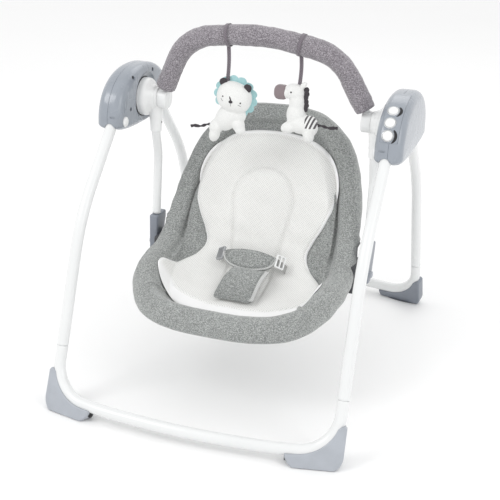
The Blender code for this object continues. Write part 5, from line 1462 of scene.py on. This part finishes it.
def cub():
    """White cub with a pale scalloped mane, dark ears, stitched face and a ribbon tail."""
    body, y = "cub", -0.0150
    head = np.array((-0.0505, y - 0.004, 0.5225))
    face = lump(head, (0.0340, 0.0200, 0.0285), HEAD_LEAN, 0.0, 2.3)
    lumps = [face, lump((-0.0655, y, 0.4810), (0.0215, 0.0175, 0.0270), 0.55),
             lump((-0.0500, y, 0.4890), (0.0220, 0.0160, 0.0200), 0.1),
             lump((-0.0850, y - 0.003, 0.4630), (0.0135, 0.0130, 0.0165), 0.5),
             lump((-0.0880, y - 0.005, 0.4480), (0.0105, 0.0110, 0.0150), 0.25),
             lump((-0.0420, y - 0.004, 0.4720), (0.0125, 0.0120, 0.0160), -0.45),
             lump((-0.0370, y - 0.005, 0.4620), (0.0100, 0.0105, 0.0110), -0.35)]
    made = stuffed("cub_plush_body", lumps, body, PLUSH_WHITE, voxel=0.0013, smooth=6,
                   stands_for=("cub_toy",))
    felt_strip("cub_mane", head + (0, 0.004, 0), (0.0290, 0.0245), -62, 232, 11, 0.0145, 0.0010,
               body, PLUSH_TEAL, HEAD_LEAN)

    def on_face(x, z, proud=0.0):
        """A point on the front of the face, x across and z up along its lean."""
        c, s = math.cos(HEAD_LEAN), math.sin(HEAD_LEAN)
        left = max(0.05, 1 - (abs(x) / 0.034) ** 2.3 - (abs(z) / 0.0285) ** 2.3)
        out = -0.0200 * left ** (1 / 2.3)
        return head + (x * c + z * s, out - proud, -x * s + z * c)
    for k, (x, z, turn) in enumerate(((-0.0275, 0.0205, -0.5), (0.0200, 0.0265, 0.35))):
        at = on_face(x, z) * (1, 0, 1) + (0, head[1] - 0.003, 0)
        stuffed(f"cub_ear_{k + 1}", [lump(at, (0.0078, 0.0034, 0.0078), turn, 0, 2.4)], body,
                PLUSH_DARK, voxel=0.0006, smooth=3)
    for k, x in enumerate((-0.0165, 0.0185)):
        at = on_face(x, -0.0005, -0.0010)
        finish(skin(f"cub_eye_{k + 1}", lump(at, (0.0019, 0.0014, 0.0019), rows=10, cols=18)),
               body, "dark_plastic", EYE_GLOSS)
    nose = [lump(on_face(0.0010, -0.0045, -0.0006), (0.0042, 0.0020, 0.0030), 0.0, 0, 2.2, 12, 20),
            lump(on_face(-0.0010, 0.0005, -0.0006), (0.0016, 0.0013, 0.0055), -0.35, 0, 2.0, 12, 16)]
    stuffed("cub_nose", nose, body, PLUSH_DARK, voxel=0.0005, smooth=2)
    s = np.linspace(0, 1, 14)
    for k, (x0, z0, x1, z1) in enumerate(((0.0014, -0.0075, 0.0040, -0.0125),
                                          (-0.0195, -0.0065, -0.0145, -0.0085),
                                          (0.0160, -0.0060, 0.0215, -0.0055))):
        line = [on_face(x0 + (x1 - x0) * a, z0 + (z1 - z0) * a + 0.0006 * math.sin(a * 6), 0.0001)
                for a in s]
        edge_line(line, 0.00030, f"cub_face_stitch_{k + 1}", THREAD, "dark_plastic", body, 8)
    tail_line = np.stack([-0.0960 - 0.0420 * s, np.full(14, y), 0.4640 - 0.0085 * s
                          + 0.0012 * np.sin(s * 9)], -1)
    knot(tail_line, "cub_tail", body, 0.0034)


def knot(line, name, body, r):
    """A limp dark ribbon with a knot near its end."""
    far = np.linspace(0, 1, len(line))
    fine = np.linspace(0, 1, 60)
    path = np.stack([np.interp(fine, far, line[:, k]) for k in range(3)], -1)
    size = r * (0.72 + 0.22 * np.sin(fine * 21) + 0.5 * np.exp(-((fine - 0.80) / 0.07) ** 2))
    section = circle(16, 1.0, 0.55)
    rings = swept(path, section[None] * size[:, None, None], (0, 1, 0.2))
    finish(skin(name, rings), body, "plush", PLUSH_DARK)


def foal():
    """White foal with a taupe muzzle, dark mane, striped rump and a knotted tail."""
    body, y = "foal", -0.0150
    lumps = [lump((0.0645, y, 0.5445), (0.0190, 0.0125, 0.0150), 0.05, 0, 2.3),
             lump((0.0490, y, 0.5420), (0.0120, 0.0110, 0.0118), -0.05),
             lump((0.0700, y, 0.5250), (0.0150, 0.0120, 0.0260), 0.0),
             lump((0.0690, y, 0.5030), (0.0180, 0.0140, 0.0240), 0.10),
             lump((0.0790, y, 0.4860), (0.0270, 0.0155, 0.0190), 0.15),
             lump((0.0960, y, 0.4830), (0.0160, 0.0150, 0.0200), 0.0),
             lump((0.0580, y - 0.004, 0.4780), (0.0165, 0.0110, 0.0110), -0.35),
             lump((0.0960, y - 0.006, 0.4680), (0.0105, 0.0110, 0.0155), -0.15)]
    made = stuffed("foal_plush_body", lumps, body, FOAL_PLUSH, voxel=0.0013, smooth=6,
                   stands_for=("foal_toy",))
    stuffed("foal_muzzle", [lump((0.0375, y, 0.5415), (0.0118, 0.0122, 0.0138), 0.0, 0, 2.5),
                            lump((0.0430, y, 0.5415), (0.0080, 0.0118, 0.0135), 0.0, 0, 2.8)],
            body, PLUSH_TAUPE, voxel=0.0008, smooth=4)
    mane = [lump((0.0870 + 0.0010 * math.sin(k * 2.1), y - 0.001, 0.5500 - 0.0072 * k),
                 (0.0052, 0.0030, 0.0056), 0.3 * (-1) ** k) for k in range(6)]
    stuffed("foal_mane", mane, body, PLUSH_DARK, voxel=0.0007, smooth=2)
    stuffed("foal_ear", [lump((0.0815, y - 0.004, 0.5585), (0.0050, 0.0032, 0.0085), 0.75)], body,
            PLUSH_WHITE, voxel=0.0007, smooth=2)
    finish(skin("foal_eye", lump((0.0610, y - 0.0122, 0.5455), (0.0017, 0.0012, 0.0017),
                                 rows=10, cols=18)), body, "dark_plastic", EYE_GLOSS)
    s = np.linspace(0, 1, 14)
    tail = np.stack([0.1090 + 0.0400 * s, np.full(14, y), 0.4860 - 0.0015 * s
                     + 0.0010 * np.sin(s * 8)], -1)
    knot(tail, "foal_tail", body, 0.0036)


def striped_plush():
    """White plush with dark bands over the rump only."""
    made = plush("foal_white_plush", (0.87, 0.875, 0.86))
    tree = made.node_tree
    main = tree.nodes["Principled BSDF"]
    base = main.inputs["Base Color"].links[0].from_socket
    spot = node(tree, "ShaderNodeTexCoord").outputs["Object"]
    turned_at = node(tree, "ShaderNodeMapping", {"Vector": spot, "Location": (-0.086, 0, -0.470)})
    parts = node(tree, "ShaderNodeSeparateXYZ", {"Vector": turned_at.outputs["Vector"]})
    across = sums(tree, "ADD", sums(tree, "MULTIPLY", parts.outputs["X"], 0.94),
                  sums(tree, "MULTIPLY", parts.outputs["Z"], -0.34))
    bands = sums(tree, "SINE", sums(tree, "MULTIPLY", across, 900.0), 0.0)
    dark = sums(tree, "GREATER_THAN", bands, 0.05)
    right = sums(tree, "GREATER_THAN", parts.outputs["X"], 0.003)
    high = sums(tree, "GREATER_THAN", parts.outputs["Z"], 0.012)
    mask = sums(tree, "MULTIPLY", dark, sums(tree, "MULTIPLY", right, high))
    tinted(tree, main, mixed(tree, mask, base, (0.09, 0.082, 0.09)))
    return made


FOAL_PLUSH = striped_plush()
ribbon("cub_hanging_ribbon", -0.066, 0.5480, "cub", "cub_ribbon")
ribbon("foal_hanging_ribbon", 0.074, 0.5560, "foal", "foal_ribbon")
cub()
foal()


# ---------------------------------------------------------------- doors, sockets and inner parts
def battery_door():
    """The cell door in the left hub's outer face, following its surface, with a finger scoop."""
    made = pebble(-1, -0.0002)
    carved(made, [block("door", (-0.30, -0.0523, 0.5175), (-0.2828, 0.0523, 0.5404), 0.0022)],
           "INTERSECT")
    scoop = turned("finger_scoop", [(DOT, 0.2878), (0.0050, 0.2880), (0.0075, 0.2900),
                                    (0.0075, 0.2950), (DOT, 0.2950)], (0, 0.036, 0.529),
                   (-1, 0, 0), 40)
    hole = turned("door_screw_hole", [(DOT, 0.2874), (0.0026, 0.2874), (0.0026, 0.2950),
                                      (DOT, 0.2950)], (0, -0.040, 0.529), (-1, 0, 0), 32)
    carved(made, [pebble(-1, 0.0026), scoop, hole])
    made.name = "battery_door_cover"
    finish(made, "rear_frame", "grey_gloss", HUB_GREY, "battery_door")
    stud("battery_door_screw", [(DOT, 0.2874), (0.0023, 0.2874), (0.0023, 0.2882), (0.0016, 0.2887),
                                (DOT, 0.2887)], (0, -0.040, 0.529), (-1, 0, 0), "rear_frame",
         "steel", STEEL)


def seat_sockets():
    """Side blocks that carry the seat's hoops, each with a step, two screws and its stud."""
    for side, hand in HANDS:
        made = block(f"{hand}_seat_socket_cover", (side * 0.1712, -0.0358, 0.1722),
                     (side * 0.2070, 0.0238, 0.2268), 0.0040)
        pad = block("pad", (side * 0.2060, -0.0300, 0.1780), (side * 0.2088, 0.0180, 0.2210), 0.0012)
        pin = turned("pin", [(DOT, 0.200), (0.0040, 0.200), (0.0040, 0.2134), (0.0034, 0.2140),
                             (DOT, 0.2140)], RECLINE_AXIS, (side, 0, 0), 40)
        carved(made, [pad, pin], "UNION")
        finish(made, "seat", "dark_plastic", DARK_PLASTIC, f"{hand}_seat_socket")
        for k, (y, z) in enumerate(((-0.022, 0.186), (0.011, 0.214))):
            stud(f"{hand}_seat_socket_screw_{k + 1}", [(DOT, 0.2080), (0.0026, 0.2080),
                                                       (0.0026, 0.2090), (0.0018, 0.2096),
                                                       (DOT, 0.2096)],
                 (0, y, z), (side, 0, 0), "seat", "steel", STEEL)


battery_door()
seat_sockets()
for name, mat in (("circuit_board", BOARD), ("drive_coil", COPPER), ("speaker", DARK_PLASTIC),
                  ("battery_tray", DARK_PLASTIC), ("battery_cell_front", STEEL),
                  ("battery_cell_rear", STEEL), ("magnet_lever", STEEL), ("seat_hoop", STEEL),
                  ("back_hoop", STEEL), ("left_pivot_bush", BRASS), ("right_pivot_bush", BRASS),
                  ("left_pivot_shaft", STEEL), ("right_pivot_shaft", STEEL),
                  ("left_leg_pin", STEEL), ("right_leg_pin", STEEL)):
    for holder in NODES[name].material_slots:
        holder.material = mat
